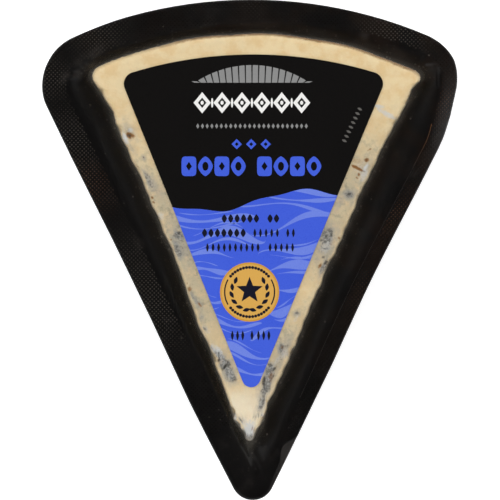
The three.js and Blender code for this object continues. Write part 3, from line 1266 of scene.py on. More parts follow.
@dataclass(frozen=True)
class Pocket:
    """A mark in the cheese: its middle in pixels of the photograph, and its size in pixels."""

    px: float
    py: float
    length: float
    width: float
    heading: float
    strength: float
    depth: float = 0.0

    def mask(self, x: Array, y: Array, stray: Array, fall: float = 0.85) -> Array:
        """Gives how strongly it marks a place, with its edge pushed in and out by stray.

        Args:
            x, y: The place.
            stray: Ragged noise.
            fall: How much of the edge is soft.

        Returns:
            A mask, 0 to 1.
        """
        cx, cy = from_photo(self.px, self.py)
        angle = math.radians(self.heading)
        along = ((x - cx) * math.cos(angle) + (y - cy) * math.sin(angle)) / (self.length * PHOTO_PITCH / 2)
        across = ((y - cy) * math.cos(angle) - (x - cx) * math.sin(angle)) / (self.width * PHOTO_PITCH / 2)
        return self.strength * np.clip(1.6 - fall * np.hypot(along, across) + 0.35 * stray, 0.0, 1.0)


# where the folds of the film catch soft light
SOFT_LIGHT = [Pocket(*row) for row in (
    (96, 52.5, 14, 7, 38, 0.9), (80.5, 60, 12, 6, 42, 0.9), (89.5, 66.5, 13, 6, 40, 0.8),
    (64.5, 77, 11, 6, 52, 0.9), (78, 74, 9, 6, 44, 0.7), (433, 70, 6, 12, 20, 0.3),
    (262, 25, 44, 5, 0, 0.6), (318, 33, 34, 6, -10, 0.7), (364, 37, 7, 7, 0, 0.9),
    (366, 47, 26, 8, -18, 0.8), (398, 55, 24, 9, -26, 0.8),
)]


def store_reach(mesh: Mesh, points: Array) -> None:
    """Stores how far outside the cheese each point lies, and how softly the corner's folds catch light.

    Args:
        mesh: The film's mesh.
        points: Its points in the drawing.
    """
    x, y = points[:, 0], points[:, 1]
    Piece.attribute(mesh, "outside", -FACE.inside(x, y))
    soft_light = [pocket.mask(x, y, 0.0, 0.9) for pocket in SOFT_LIGHT]
    Piece.attribute(mesh, "soft_light", np.max(soft_light, axis=0))


class BaseFilm:
    """The black film that holds the cheese, from its flat floor to the rim."""

    side_levels: tuple[float, ...] = (3.5, 5.5, 8.0, 10.5, 13.0, 15.5, 18.0, 19.6)
    crease_width: float = 2.6
    crease_depth: float = 0.22
    # the heights between which the creases deepen
    creases_from: float = 2.5
    creases_to: float = 14.5

    def build(self, material: Material) -> None:
        """Makes the film and puts it in place of its plain solid.

        Args:
            material: Its look.
        """
        cheese = DRAWING.cheese_edge()
        seal = DRAWING.seal_edge()
        edge = DRAWING.base_edge()
        gap, outside = DRAWING.clearance, DRAWING.clearance + DRAWING.base_thickness
        foot = cheese.moved(gap)
        outer = lower_edge(cheese, outside, 6) + self._side(cheese, outside, DRAWING.wall_top - 1.6)
        inner = lower_edge(cheese, gap, 4) + self._side(cheese, gap, DRAWING.wall_top)
        under = brim_rings(edge, foot, seal, -DRAWING.base_thickness)
        over = brim_rings(edge, foot, seal, 0.0)
        loft = Loft([*outer, *under, *reversed(over), *reversed(inner)])
        points = loft.points(0.0, DRAWING.base_thickness)
        creased = self._creased(points, len(loft.rings[0]), len(outer))
        mesh = Piece.mesh("base_film_skin", creased, loft.faces())
        store_reach(mesh, points)
        skin = Piece.place("base_film_skin", mesh, "base_film", material)
        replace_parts(skin, "base_film")

    def _side(self, edge: Edge, lift: float, last: float) -> Rings:
        """Gives rings up the side, which follows the cheese at a distance, to a last height."""
        return [(edge.offset(lift + DRAWING.bulge(z)), z) for z in (*self.side_levels, last)]

    def _creased(self, points: Array, count: int, outer_rows: int) -> Array:
        """Draws fine upright creases into the outer wall, deepest near the rim.

        Args:
            points: The film's points.
            count: Points in a ring.
            outer_rows: Rings of the wall.

        Returns:
            The points, moved.
        """
        creased = points.copy()
        wall = creased[: count * outer_rows].reshape(outer_rows, count, 3)
        around = np.cumsum(np.hypot(*np.diff(wall[-1, :, :2], axis=0, append=wall[-1, :1, :2]).T))
        ridges = fractal(around[None, :], wall[..., 2] * 0.16, 0.0, self.crease_width, 5.1, 3)
        ahead = np.roll(wall[..., :2], -1, axis=1) - np.roll(wall[..., :2], 1, axis=1)
        outward = np.stack((ahead[..., 1], -ahead[..., 0]), axis=-1)
        outward = outward / np.linalg.norm(ahead, axis=-1)[..., None]
        rising = (wall[..., 2] - self.creases_from) / (self.creases_to - self.creases_from)
        depth = self.crease_depth * smooth(rising)
        wall[..., :2] += outward * np.minimum(ridges, 0.0)[..., None] * depth[..., None]
        return creased


# the marks: middle, length and width in pixels of the photograph, heading, strength and depth
MARKS = {
    Mark.MOULD: (
        (129, 132, 13, 8, -60, 0.4), (132, 150, 9, 4, -60, 0.4), (144, 158, 3.6, 2.4, -60, 0.6, 0.1),
        (149, 180, 16, 5.5, -58, 0.6, 0.1), (158, 191, 8, 5, -60, 0.35),
        (179, 235, 8, 5.5, -40, 0.85, 0.25), (177, 250, 13, 5.5, -70, 0.7, 0.15),
        (180, 243, 24, 10, -68, 0.45), (194, 299, 13, 2.6, -52, 0.6), (199, 303, 6, 3.0, -45, 0.5),
        (205, 329, 5, 3.4, -60, 0.55, 0.1), (202, 317, 5, 3, -68, 0.5), (221, 358, 11, 8, -50, 0.7, 0.15),
        (226, 366, 12, 8, -50, 0.95, 0.3), (231, 375, 10, 7, -60, 0.85, 0.15), (226, 378, 8, 4, -60, 0.5),
        (241, 420, 6, 3.0, -30, 0.75, 0.1), (250, 438, 8, 7, 90, 0.85),
        (262, 403, 15, 4.6, 72, 0.75, 0.12), (267, 384, 20, 7.0, 76, 0.85, 0.2),
        (270, 369, 9, 6, 66, 0.8, 0.2), (280.5, 348, 8, 4.4, 78, 0.75, 0.2),
        (288.5, 355, 4, 2.4, 70, 0.5), (292, 335, 6, 5, 60, 0.35), (285, 347, 14, 8, 64, 0.5),
        (277, 364, 28, 8, 66, 0.42), (213, 352, 14, 6, -62, 0.4), (364, 170, 14, 9, 60, 0.35),
        (297, 313, 4.6, 3.4, 0, 0.7, 0.12),
        (324, 267, 11, 4.6, 64, 0.85, 0.15), (325, 247, 18, 11, 64, 0.5),
        (327, 236, 14, 9.5, 62, 0.8, 0.2), (349, 195, 8.5, 5.5, 10, 0.7, 0.1),
        (339, 203, 11, 4.0, 62, 0.4), (352, 203, 4.4, 3.0, 60, 0.35),
    ),
    Mark.DARK: (
        (130, 136, 3.0, 2.4, -20, 0.9, 0.3), (179, 233, 4, 2.4, -30, 0.6, 0.2),
        (176.5, 247, 3.2, 2.2, -60, 0.6, 0.15), (217, 360.5, 4.4, 3.0, 20, 0.9, 0.45),
        (224, 367.5, 8.0, 2.4, 48, 0.95, 0.45), (228, 364, 6, 4, 20, 0.5, 0.2),
        (235, 379.5, 4.4, 2.6, 15, 0.8, 0.25), (255, 416, 13, 1.5, 12, 0.7, 0.15),
        (264.5, 400, 4.4, 2.4, 40, 0.6, 0.15), (263.5, 380, 8, 2.6, 72, 0.9, 0.4),
        (265, 387, 8, 3.0, -60, 0.7, 0.25), (269.5, 364.5, 4.4, 2.6, -40, 0.75, 0.3),
        (274.5, 368.5, 6.6, 2.2, 45, 0.9, 0.35), (274, 375, 3.0, 2.2, 50, 0.7, 0.2),
        (326.5, 263, 3.2, 2.6, 45, 0.95, 0.35), (323, 257, 3.2, 2.4, 30, 0.75, 0.15),
        (330, 230.5, 6.5, 2.4, -30, 0.7, 0.2), (326, 236, 3.4, 2.6, 20, 0.65, 0.2),
        (323, 241, 6.5, 2.4, -10, 0.6, 0.2), (331, 235, 5, 2.2, 70, 0.65, 0.15),
        (349, 194.5, 3.6, 2.8, 10, 0.85, 0.25), (366, 160.3, 2.0, 1.6, 30, 0.7, 0.2),
    ),
    Mark.RUST: (
        (131, 136, 6.5, 5.0, -20, 1.0, 0.5), (144, 158, 1.8, 1.6, 0, 0.6),
        (152, 198, 3.4, 2.0, -45, 0.9, 0.2), (153.5, 202.5, 2.6, 2.0, -60, 0.9, 0.2),
        (171, 240, 2.0, 1.8, 0, 0.9, 0.2), (187.5, 283.5, 2.0, 1.6, -60, 0.7),
        (189.5, 289, 4.4, 4.2, 0, 0.85, 0.12), (200, 304.5, 4.4, 1.8, -45, 0.85, 0.12),
        (254, 429, 4, 2.4, -30, 0.8, 0.1), (266, 413, 12, 3.4, 68, 0.55), (271, 377, 9, 6, 66, 0.55),
        (281.5, 347, 2.6, 2.0, 40, 0.9, 0.2), (320, 265.5, 5.0, 2.2, 48, 0.95, 0.25),
        (339, 238.5, 2.6, 2.0, 30, 0.8, 0.15), (332, 243, 8, 4, 66, 0.4),
        (357, 168.5, 10.5, 2.3, -27, 1.0, 0.3), (356, 161, 11, 4.6, -12, 0.45),
        (366, 160.3, 3.6, 3.0, 30, 1.0, 0.35), (358.5, 175, 3.0, 2.2, -70, 0.9, 0.2),
        (356.5, 178, 3.0, 1.8, -50, 0.8, 0.15), (369, 150, 4.4, 2.2, 35, 0.55),
        (376, 152, 3.0, 2.0, -60, 0.4),
    ),
    Mark.BLOOM: (
        (125, 138, 11, 4, -65, 0.9), (131, 131, 5, 4, 60, 0.7), (161, 216, 7, 5, -60, 0.6),
        (218, 353, 15, 7, -55, 0.95), (226, 371, 6, 3, -50, 0.6), (230, 376, 6, 5, -60, 0.7),
        (233, 417, 8, 3.4, -62, 0.75),
        (237, 425, 12, 4, -50, 0.7), (249, 431, 18, 11, -80, 0.9), (263, 415, 6, 3.4, -40, 0.75),
        (277, 360, 12, 3.4, 60, 0.5), (296, 318, 8, 3.0, 66, 0.5), (326, 246, 16, 9, 64, 0.6),
        (365, 168, 7, 2.8, 55, 0.9), (363, 176, 12, 7, 62, 0.55), (285, 352, 12, 7, 62, 0.5),
        (270, 371, 16, 9, 66, 0.5), (207, 331, 14, 8, -62, 0.3), (360, 167, 13, 9, 60, 0.35),
        (387, 115, 20, 4.2, -30, 0.7, 0.05),
        (378, 107, 10, 3.0, -8, 0.75),
    ),
}
POCKETS = {mark: [Pocket(*row) for row in rows] for mark, rows in MARKS.items()}


@dataclass(frozen=True)
class Chip:
    """A bite out of the cheese's edge: its middle in pixels, its radius and depth in millimetres."""

    px: float
    py: float
    radius: float
    depth: float


CHIPS = [Chip(*row) for row in (
    (101, 92, 1.0, 0.5), (119, 131, 1.2, 0.35), (216, 357, 1.6, 0.7), (232, 412, 1.4, 0.6),
    (236, 425, 1.3, 0.5), (243, 434, 1.1, 0.3), (264, 420, 1.2, 0.4), (258, 432, 1.1, 0.25),
    (404, 100, 1.3, 0.35), (394, 122, 1.2, 0.45), (344, 226, 1.3, 0.3), (291, 350, 1.2, 0.35),
)]
# how aged the cheese looks down each cut side: rows of the photograph, and 0 to 1
AGED_LEFT = (
    (90, 0.05), (150, 0.25), (175, 0.55), (195, 0.85), (250, 0.95),
    (310, 0.85), (335, 0.5), (370, 0.3), (410, 0.0),
)
AGED_RIGHT = (
    (90, 0.0), (130, 0.2), (150, 0.5), (190, 0.95), (210, 0.7), (250, 0.7),
    (275, 0.45), (290, 0.15), (310, 0.4), (340, 0.6), (370, 0.45), (410, 0.05),
)


class CheeseWedge:
    """The wedge of cheese, with crumbling cut sides, veins and pockets of mould, and a thin rind."""

    side_levels: tuple[float, ...] = (3.5, 7.0, 11.0, 15.0, 19.0, 21.5)
    near_levels: tuple[float, ...] = (22.4, 23.1, 23.8, 24.5, 25.2, 25.8)
    face_insets: tuple[float, ...] = tuple(np.arange(1.9, 8.8, 0.27)) + (10.0, 12.0, 15.0, 20.0)
    # the crack across the tip, in pixels of the photograph, and its size in millimetres
    crack_at: tuple[float, float] = (250.0, 417.0)
    crack_half: float = 3.2
    crack_width: float = 0.22
    crack_depth: float = 0.22
    # the painted reflection of the film near the tip: the row where it starts and how many rows it takes
    tip_glare_row: float = 376.0
    tip_glare_rows: float = 30.0
    tip_glare_most: float = 0.42

    def build(self, material: Material) -> None:
        """Makes the wedge and puts it in place of its plain solid.

        Args:
            material: Its look.
        """
        edge = DRAWING.cheese_edge(CHEESE_STATIONS)
        levels = (*self.side_levels, *self.near_levels)
        side = [(edge.offset(DRAWING.bulge(z) if z < DRAWING.wall_top else 0.0), z) for z in levels]
        face = [(ring, FACE.height(ring.x, ring.y)) for ring in map(edge.shrunk, self.face_insets)]
        loft = Loft([*lower_edge(edge, 0.0, 4), *side, *upper_edge(edge, 0.0, 6), *face])
        points = loft.points(DRAWING.cheese_bottom, FACE.middle())
        faces = loft.faces()
        smooth_mesh = Piece.mesh("cheese_smooth", points, faces)
        normals = np.empty(len(points) * 3)
        smooth_mesh.vertex_normals.foreach_get("vector", normals)
        bpy.data.meshes.remove(smooth_mesh)
        x, y, z = points.T
        near_top = smooth((z - 21.5) / 2.0)
        stray = fractal(x, y, z, 1.1, 2.2, 3)
        masks, sunk = self._masks(x, y, z, stray, near_top)
        depth = self._depth(x, y, z, stray) + sunk
        crumbled = points - normals.reshape(-1, 3) * (depth * near_top + 0.02)[:, None]
        mesh = Piece.mesh("cheese_wedge_crumbled", crumbled, faces)
        for name, values in masks.items():
            Piece.attribute(mesh, name, values)
        wedge = Piece.place("cheese_wedge_crumbled", mesh, "cheese", material)
        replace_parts(wedge, "cheese_wedge")

    def _depth(self, x: Array, y: Array, z: Array, stray: Array) -> Array:
        """Gives how far the crumbling surface lies inside the smooth one.

        Args:
            x, y, z: The place.
            stray: Ragged noise.

        Returns:
            The depth in millimetres.
        """
        inside = FACE.inside(x, y)
        near_edge = np.exp(-((np.maximum(inside, 0.0) / 1.6) ** 2))
        coarse = np.maximum(0.0, fractal(x, y, z, 2.3, 6.6, 3)) ** 1.3
        fine = np.maximum(0.0, fractal(x, y, z, 0.85, 3.3, 2))
        crumb = 0.1 * np.abs(stray) + 0.35 * near_edge * coarse + 0.22 * near_edge * fine
        chips = np.zeros_like(x)
        for chip in CHIPS:
            cx, cy = from_photo(chip.px, chip.py)
            away = np.hypot(x - cx, y - cy) / chip.radius
            chips = np.maximum(chips, chip.depth * smooth(1.3 - away + 0.3 * stray))
        crack_x, crack_y = from_photo(*self.crack_at)
        bend = 0.35 * np.sin((x - crack_x) / 1.4)
        groove = self.crack_depth * np.exp(-(((y - crack_y - bend) / self.crack_width) ** 2))
        return crumb + chips + groove * (np.abs(x - crack_x) < self.crack_half)

    def _masks(
        self, x: Array, y: Array, z: Array, stray: Array, near_top: Array
    ) -> tuple[dict[str, Array], Array]:
        """Gives the masks that the finish reads, each 0 to 1, and how deep the marks are sunk.

        Args:
            x, y, z: The place.
            stray: Ragged noise.
            near_top: 1 at the face, 0 below.

        Returns:
            The masks by name, and the depth in millimetres.
        """
        masks = {name: np.zeros_like(x) for name in ("mould", "dark", "rust", "bloom", "haze")}
        sunk = np.zeros_like(x)
        for mark, pockets in POCKETS.items():
            for pocket in pockets:
                mask = pocket.mask(x, y, stray)
                masks[mark.value] = np.maximum(masks[mark.value], mask)
                sunk += pocket.depth * mask
                if mark is Mark.MOULD:
                    masks["haze"] = np.maximum(masks["haze"], 0.85 * pocket.mask(x, y, stray, 0.58))
        buried = 1 - near_top
        veins = smooth((fractal(x, y, z, 5.5, 9.4, 4) - 0.12) / 0.3)
        masks["mould"] = np.maximum(masks["mould"], 0.8 * veins * buried)
        row = PHOTO_MIDDLE[1] - y / PHOTO_PITCH
        sides = [np.interp(row, *np.transpose(steps)) for steps in (AGED_LEFT, AGED_RIGHT)]
        masks["aged"] = mix(sides[1], sides[0], smooth(0.5 - x / 4.0))
        masks["tip_glare"] = self.tip_glare_most * smooth((row - self.tip_glare_row) / self.tip_glare_rows)
        masks["inside"] = FACE.inside(x, y)
        masks["rind"] = np.maximum(0.1, smooth((y - 42.5) / 3.0) * mix(0.25, 1.0, smooth((x + 30.0) / 20.0)))
        return masks, sunk


class LidFilm:
    """The clear film over the cheese, drawn down its sides and sealed to the rim."""

    thickness: float = 0.07
    lift: float = 0.05
    face_insets: tuple[float, ...] = (24.0, 18.0, 12.0, 8.5, 6.0, 4.4, 3.2, 2.4, 1.9)
    # heights down the side of the cheese, each with how far out the film stands there
    side_spread: Steps = ((25.4, 0.02), (24.6, 0.08), (23.9, 0.2), (23.3, 0.38), (22.9, 0.6), (22.65, 0.85))

    def build(self, material: Material) -> None:
        """Makes the film and puts it in place of its plain solid.

        Args:
            material: Its look.
        """
        cheese = DRAWING.cheese_edge()
        seal = DRAWING.seal_edge()
        edge = DRAWING.pack_edge()
        under = self._face(cheese, seal, edge, self.lift)
        over = self._face(cheese, seal, edge, self.lift + self.thickness)
        loft = Loft([*under, *reversed(over)])
        points = loft.points(FACE.middle() + self.lift, FACE.middle() + self.lift + self.thickness)
        mesh = Piece.mesh("lid_film_skin", points, loft.faces())
        store_reach(mesh, points)
        skin = Piece.place("lid_film_skin", mesh, "lid_film", material)
        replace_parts(skin, "lid_film")

    def _face(self, cheese: Edge, seal: Edge, edge: Edge, lift: float) -> Rings:
        """Gives one face of the film, from its middle outwards to its edge.

        Args:
            cheese, seal, edge: Its outlines.
            lift: Distance above the solid's faces.

        Returns:
            The rings.
        """
        rings = [(ring, FACE.height(ring.x, ring.y) + lift) for ring in map(cheese.shrunk, self.face_insets)]
        rings += reversed(upper_edge(cheese, lift, 7))
        rings += [(cheese.moved(lift + spread), z + lift) for z, spread in self.side_spread]
        return rings + brim_rings(edge, cheese.moved(DRAWING.clearance), seal, lift, 3)


class KnurledSeal:
    """The fine knurling of the heat seal: low beads in a lattice, laid over the rim by a node tree."""

    pitch: float = 0.728
    bead_width: float = 0.4
    bead_height: float = 0.1
    margin: float = 0.3
    rows: int = 240
    tip_line: float = -54.0
    drop_from: float = 60.0

    def build(self, material: Material) -> None:
        """Makes the beads.

        Args:
            material: Their look.
        """
        values = {
            "Pitch": self.pitch * MM,
            "Bead Width": self.bead_width * MM,
            "Bead Height": self.bead_height * MM,
            "Finish": material,
            "Tip Line": self.tip_line * MM,
            "Seed": 7,
        }
        mesh = grown(self._zone(), self._tree(), values)
        Piece.place("seal_knurling", mesh, "base_film", material)

    def _zone(self) -> Mesh:
        """Makes the strip of rim that the beads are laid on.

        Returns:
            The strip's mesh.
        """
        seal = DRAWING.seal_edge().moved(self.margin)
        edge = DRAWING.base_edge().moved(-self.margin)
        rings = rim_rings(seal, edge, LidFilm.lift + LidFilm.thickness - 0.01)[::-1]
        points = np.vstack([np.column_stack((ring.points, height)) for ring, height in rings])
        return Piece.mesh("seal_zone", points, quads(len(rings), len(seal.x)))

    @staticmethod
    def _tree() -> NodeTree:
        """Builds the node tree: a lattice dropped on the zone, with a bead where it lands.

        Returns:
            The node tree.
        """
        inputs = {
            "Zone": "Geometry", "Pitch": "Float", "Bead Width": "Float", "Bead Height": "Float",
            "Finish": "Material", "Tip Line": "Float", "Seed": "Int",
        }
        graph, given = node_group("knurl_beads", "Geometry", inputs, ("Beads", "Geometry"))
        span = graph.times(given["Pitch"], float(KnurledSeal.rows - 1))
        rows = KnurledSeal.rows
        size = {"Size X": span, "Size Y": span, "Vertices X": rows, "Vertices Y": rows}
        moved = {"Translation": (0.0, 0.0, KnurledSeal.drop_from * MM), "Rotation": (0.0, 0.0, math.pi / 4)}
        lattice = graph.out("GeometryNodeMeshGrid", size)
        raised = graph.out("GeometryNodeTransform", {"Geometry": lattice} | moved)
        ray = {"Target Geometry": given["Zone"], "Ray Direction": (0.0, 0.0, -1.0), "Ray Length": 0.1}
        drop = graph.add("GeometryNodeRaycast", ray).outputs
        spot = graph.add("ShaderNodeSeparateXYZ", {0: graph.out("GeometryNodeInputPosition")})
        wavering = graph.out("ShaderNodeTexNoise", {"Scale": 90.0})
        limit = graph.maths("MULTIPLY_ADD", wavering, 0.02, given["Tip Line"])
        above = graph.maths("GREATER_THAN", spot.outputs["Y"], limit)
        kept_here = graph.out("FunctionNodeBooleanMath", {0: drop["Is Hit"], 1: above}, operation="AND")
        missed = graph.out("FunctionNodeBooleanMath", {0: kept_here}, operation="NOT")
        lattice = {"Geometry": raised, "Selection": missed}
        kept = graph.out("GeometryNodeDeleteGeometry", lattice, domain="POINT")
        lean = {"Geometry": kept, "Name": "lean", "Value": drop["Hit Normal"]}
        vector = {"data_type": "FLOAT_VECTOR"}
        leaning = graph.out("GeometryNodeStoreNamedAttribute", lean, domain="POINT", **vector)
        landed = graph.out("GeometryNodeSetPosition", {"Geometry": leaning, "Position": drop["Hit Position"]})
        half = graph.times(given["Bead Width"], 0.5)
        cone = {"Vertices": 6, "Radius Top": graph.times(half, 0.35), "Radius Bottom": half}
        bead = graph.out("GeometryNodeMeshCone", cone | {"Depth": given["Bead Height"]}, fill_type="NGON")
        normal = graph.out("GeometryNodeInputNamedAttribute", {"Name": "lean"}, **vector)
        turn = graph.out("FunctionNodeAlignRotationToVector", {"Vector": normal}, axis="Z")
        spread = {"Min": (0.82, 0.82, 0.6), "Max": (1.1, 1.1, 1.3), "Seed": given["Seed"]}
        vary = graph.out("FunctionNodeRandomValue", spread, **vector)
        beads = {"Points": landed, "Instance": bead, "Rotation": turn, "Scale": vary}
        laid = graph.out("GeometryNodeInstanceOnPoints", beads)
        real = graph.out("GeometryNodeRealizeInstances", {"Geometry": laid})
        flat = graph.out("GeometryNodeSetShadeSmooth", {"Geometry": real, "Shade Smooth": False})
        dressed = graph.add("GeometryNodeSetMaterial", {"Geometry": flat, "Material": given["Finish"]})
        graph.add("NodeGroupOutput", {"Beads": dressed.outputs[0]})
        return graph.tree


def grown(seed: Mesh, tree: NodeTree, values: dict[str, object]) -> Mesh:
    """Runs a node tree on a mesh.

    Args:
        seed: The mesh that it starts from.
        tree: The node tree.
        values: Its inputs, by name.

    Returns:
        What it makes, as a plain mesh.
    """
    thing = bpy.data.objects.new(seed.name, seed)
    bpy.context.scene.collection.objects.link(thing)
    modifier = thing.modifiers.new(tree.name, "NODES")
    modifier.node_group = tree
    for item in tree.interface.items_tree:
        if item.name in values:
            modifier[item.identifier] = values[item.name]
    graph = bpy.context.evaluated_depsgraph_get()
    mesh = bpy.data.meshes.new_from_object(thing.evaluated_get(graph), depsgraph=graph)
    bpy.data.objects.remove(thing)
    for name in [layer.name for layer in mesh.attributes if layer.name == "lean"]:
        mesh.attributes.remove(mesh.attributes[name])
    return mesh


class SealLine:
    """The thin amber line along the inner edge of the right seal, a bead of sealant swept along it."""

    radius: float = 0.07
    from_y: float = -37.4
    to_y: float = 31.8

    def build(self, material: Material) -> None:
        """Makes the line.

        Args:
            material: Its look.
        """
        seal = DRAWING.seal_edge()
        on_line = (seal.x > 0) & (seal.y > self.from_y) & (seal.y < self.to_y)
        x, y = seal.x[on_line], seal.y[on_line]
        lift = LidFilm.lift + LidFilm.thickness
        z = DRAWING.rim_height(x, y, 0.0) + RELIEF.rise(x, y) + lift - self.radius * 0.3
        mesh = bpy.data.meshes.new("seal_path")
        placed = (np.column_stack((x, y, z)) + (SHIFT[0], SHIFT[1], 0.0)) * MM
        mesh.from_pydata(placed.tolist(), [(i, i + 1) for i in range(len(x) - 1)], [])
        values = {"Radius": self.radius * MM, "Spacing": 0.7 * MM, "Finish": material}
        Piece.place("seal_line", grown(mesh, self._tree(), values), "base_film", material)

    @staticmethod
    def _tree() -> NodeTree:
        """Builds the node tree: a round bead of uneven thickness along the path.

        Returns:
            The node tree.
        """
        inputs = {"Path": "Geometry", "Radius": "Float", "Spacing": "Float", "Finish": "Material"}
        graph, given = node_group("seal_bead", "Geometry", inputs, ("Bead", "Geometry"))
        curve = graph.out("GeometryNodeMeshToCurve", {"Mesh": given["Path"]})
        even = graph.out("GeometryNodeResampleCurve", {"Curve": curve, 3: given["Spacing"]}, mode="LENGTH")
        uneven = graph.out("ShaderNodeTexNoise", {"Scale": 420.0, "Detail": 2.0})
        wide = graph.maths("MULTIPLY_ADD", uneven, 1.6, 0.2)
        varied = graph.out("GeometryNodeSetCurveRadius", {"Curve": even, "Radius": wide})
        round_ring = {"Resolution": 8, "Radius": given["Radius"]}
        ring = graph.out("GeometryNodeCurvePrimitiveCircle", round_ring, mode="RADIUS")
        swept = {"Curve": varied, "Profile Curve": ring, "Fill Caps": True}
        bead = graph.out("GeometryNodeCurveToMesh", swept)
        real = graph.out("GeometryNodeRealizeInstances", {"Geometry": bead})
        dressed = graph.add("GeometryNodeSetMaterial", {"Geometry": real, "Material": given["Finish"]})
        graph.add("NodeGroupOutput", {"Bead": dressed.outputs[0]})
        return graph.tree


Shape = tuple[Array, list[list[int]]]


class Shapes:
    """Flat shapes of the label's print: points on the drawing and the faces between them."""

    blob_points: int = 40

    @staticmethod
    def blob(x: float, y: float, wide: float, tall: float, power: float = 1.0, turn: float = 0.0) -> Array:
        """Gives a closed outline.

        Args:
            x: Its middle.
            y: Its middle.
            wide: Its width.
            tall: Its height.
            power: 1 for a lozenge, 2 for an oval, and more for a tile with rounded corners.
            turn: Degrees that it is turned.

        Returns:
            The points, counter-clockwise.
        """
        ray = np.arange(Shapes.blob_points) * math.tau / Shapes.blob_points
        out = [np.sign(part) * np.abs(part) ** (2 / power) / 2 for part in (np.cos(ray), np.sin(ray))]
        a = math.radians(turn)
        along, up = out[0] * wide, out[1] * tall
        return np.column_stack(
            (x + along * math.cos(a) - up * math.sin(a), y + along * math.sin(a) + up * math.cos(a))
        )

    @staticmethod
    def fan(outline: Array, middle: Array | Sequence[float] | None = None) -> Shape:
        """Fills an outline whose every point is seen from a middle point.

        Args:
            outline: Its points in order.
            middle: The point in the middle, or None for the mean.

        Returns:
            The shape.
        """
        count = len(outline)
        centre = outline.mean(0) if middle is None else middle
        return np.vstack((outline, centre)), [[count, i, (i + 1) % count] for i in range(count)]

    @staticmethod
    def ring(outer: Array, inner: Array) -> Shape:
        """Fills the space between two outlines with the same number of points.

        Args:
            outer, inner: The outlines.

        Returns:
            The shape.
        """
        count = len(outer)
        faces = [[i, (i + 1) % count, count + (i + 1) % count, count + i] for i in range(count)]
        return np.vstack((outer, inner)), faces

    @staticmethod
    def hollow(x: float, y: float, outer: Sequence[float], inner: Sequence[float]) -> Shape:
        """Fills the space between two blobs round one middle."""
        return Shapes.ring(Shapes.blob(x, y, *outer), Shapes.blob(x, y, *inner))

    @staticmethod
    def dot(*blob: float) -> Shape:
        """Fills the blob that the same numbers give."""
        return Shapes.fan(Shapes.blob(*blob))

    @staticmethod
    def strip(upper: Array, lower: Array) -> Shape:
        """Fills the band between two lines that both run from left to right.

        Args:
            upper, lower: The lines.

        Returns:
            The shape.
        """
        count = len(upper)
        faces = [[i, count + i, count + i + 1, i + 1] for i in range(count - 1)]
        return np.vstack((upper, lower)), faces

    @staticmethod
    def bow(middle: Sequence[float], radius: float, width: float, start: float, end: float) -> Shape:
        """Makes an arc of a ring between two angles in degrees, the second the larger.

        Args:
            middle: Its middle.
            radius, width: Its size.
            start, end: Its angles.

        Returns:
            The shape.
        """
        angles = np.radians(np.linspace(end, start, 72))
        ray = np.column_stack((np.cos(angles), np.sin(angles)))
        return Shapes.strip(ray * (radius + width / 2) + middle, ray * (radius - width / 2) + middle)

    @staticmethod
    def joined(shapes: Sequence[Shape]) -> Shape:
        """Puts shapes together as one.

        Args:
            shapes: The parts.

        Returns:
            One shape.
        """
        starts = np.cumsum([0] + [len(points) for points, _ in shapes])
        faces = [[int(first) + n for n in face] for first, (_, some) in zip(starts, shapes) for face in some]
        return np.vstack([points for points, _ in shapes]), faces

    @staticmethod
    def opened(shape: Shape) -> bmesh.types.BMesh:
        """Gives a flat shape as an editable mesh, with its points that coincide joined.

        Args:
            shape: Points of two or three coordinates, and faces.

        Returns:
            The editable mesh.
        """
        flat = bmesh.new()
        corners = [flat.verts.new((*map(float, point), 0.0)[:3]) for point in shape[0]]
        for face in shape[1]:
            flat.faces.new([corners[n] for n in face])
        bmesh.ops.remove_doubles(flat, verts=flat.verts[:], dist=1e-5)
        return flat

    @staticmethod
    def read(flat: bmesh.types.BMesh) -> Shape:
        """Reads an editable mesh.

        Args:
            flat: The mesh.

        Returns:
            Its points and faces.
        """
        flat.verts.index_update()
        points = np.array([vertex.co[:] for vertex in flat.verts])
        return points, [[vertex.index for vertex in face.verts] for face in flat.faces]

    @staticmethod
    def cut(
        flat: bmesh.types.BMesh, place: Sequence[float], normal: Sequence[float], clear: bool = False
    ) -> None:
        """Cuts an editable mesh along a line, and can clear what lies beyond it."""
        whole = flat.verts[:] + flat.edges[:] + flat.faces[:]
        plane = {"plane_co": place, "plane_no": normal, "dist": 1e-6}
        bmesh.ops.bisect_plane(flat, geom=whole, clear_outer=clear, **plane)


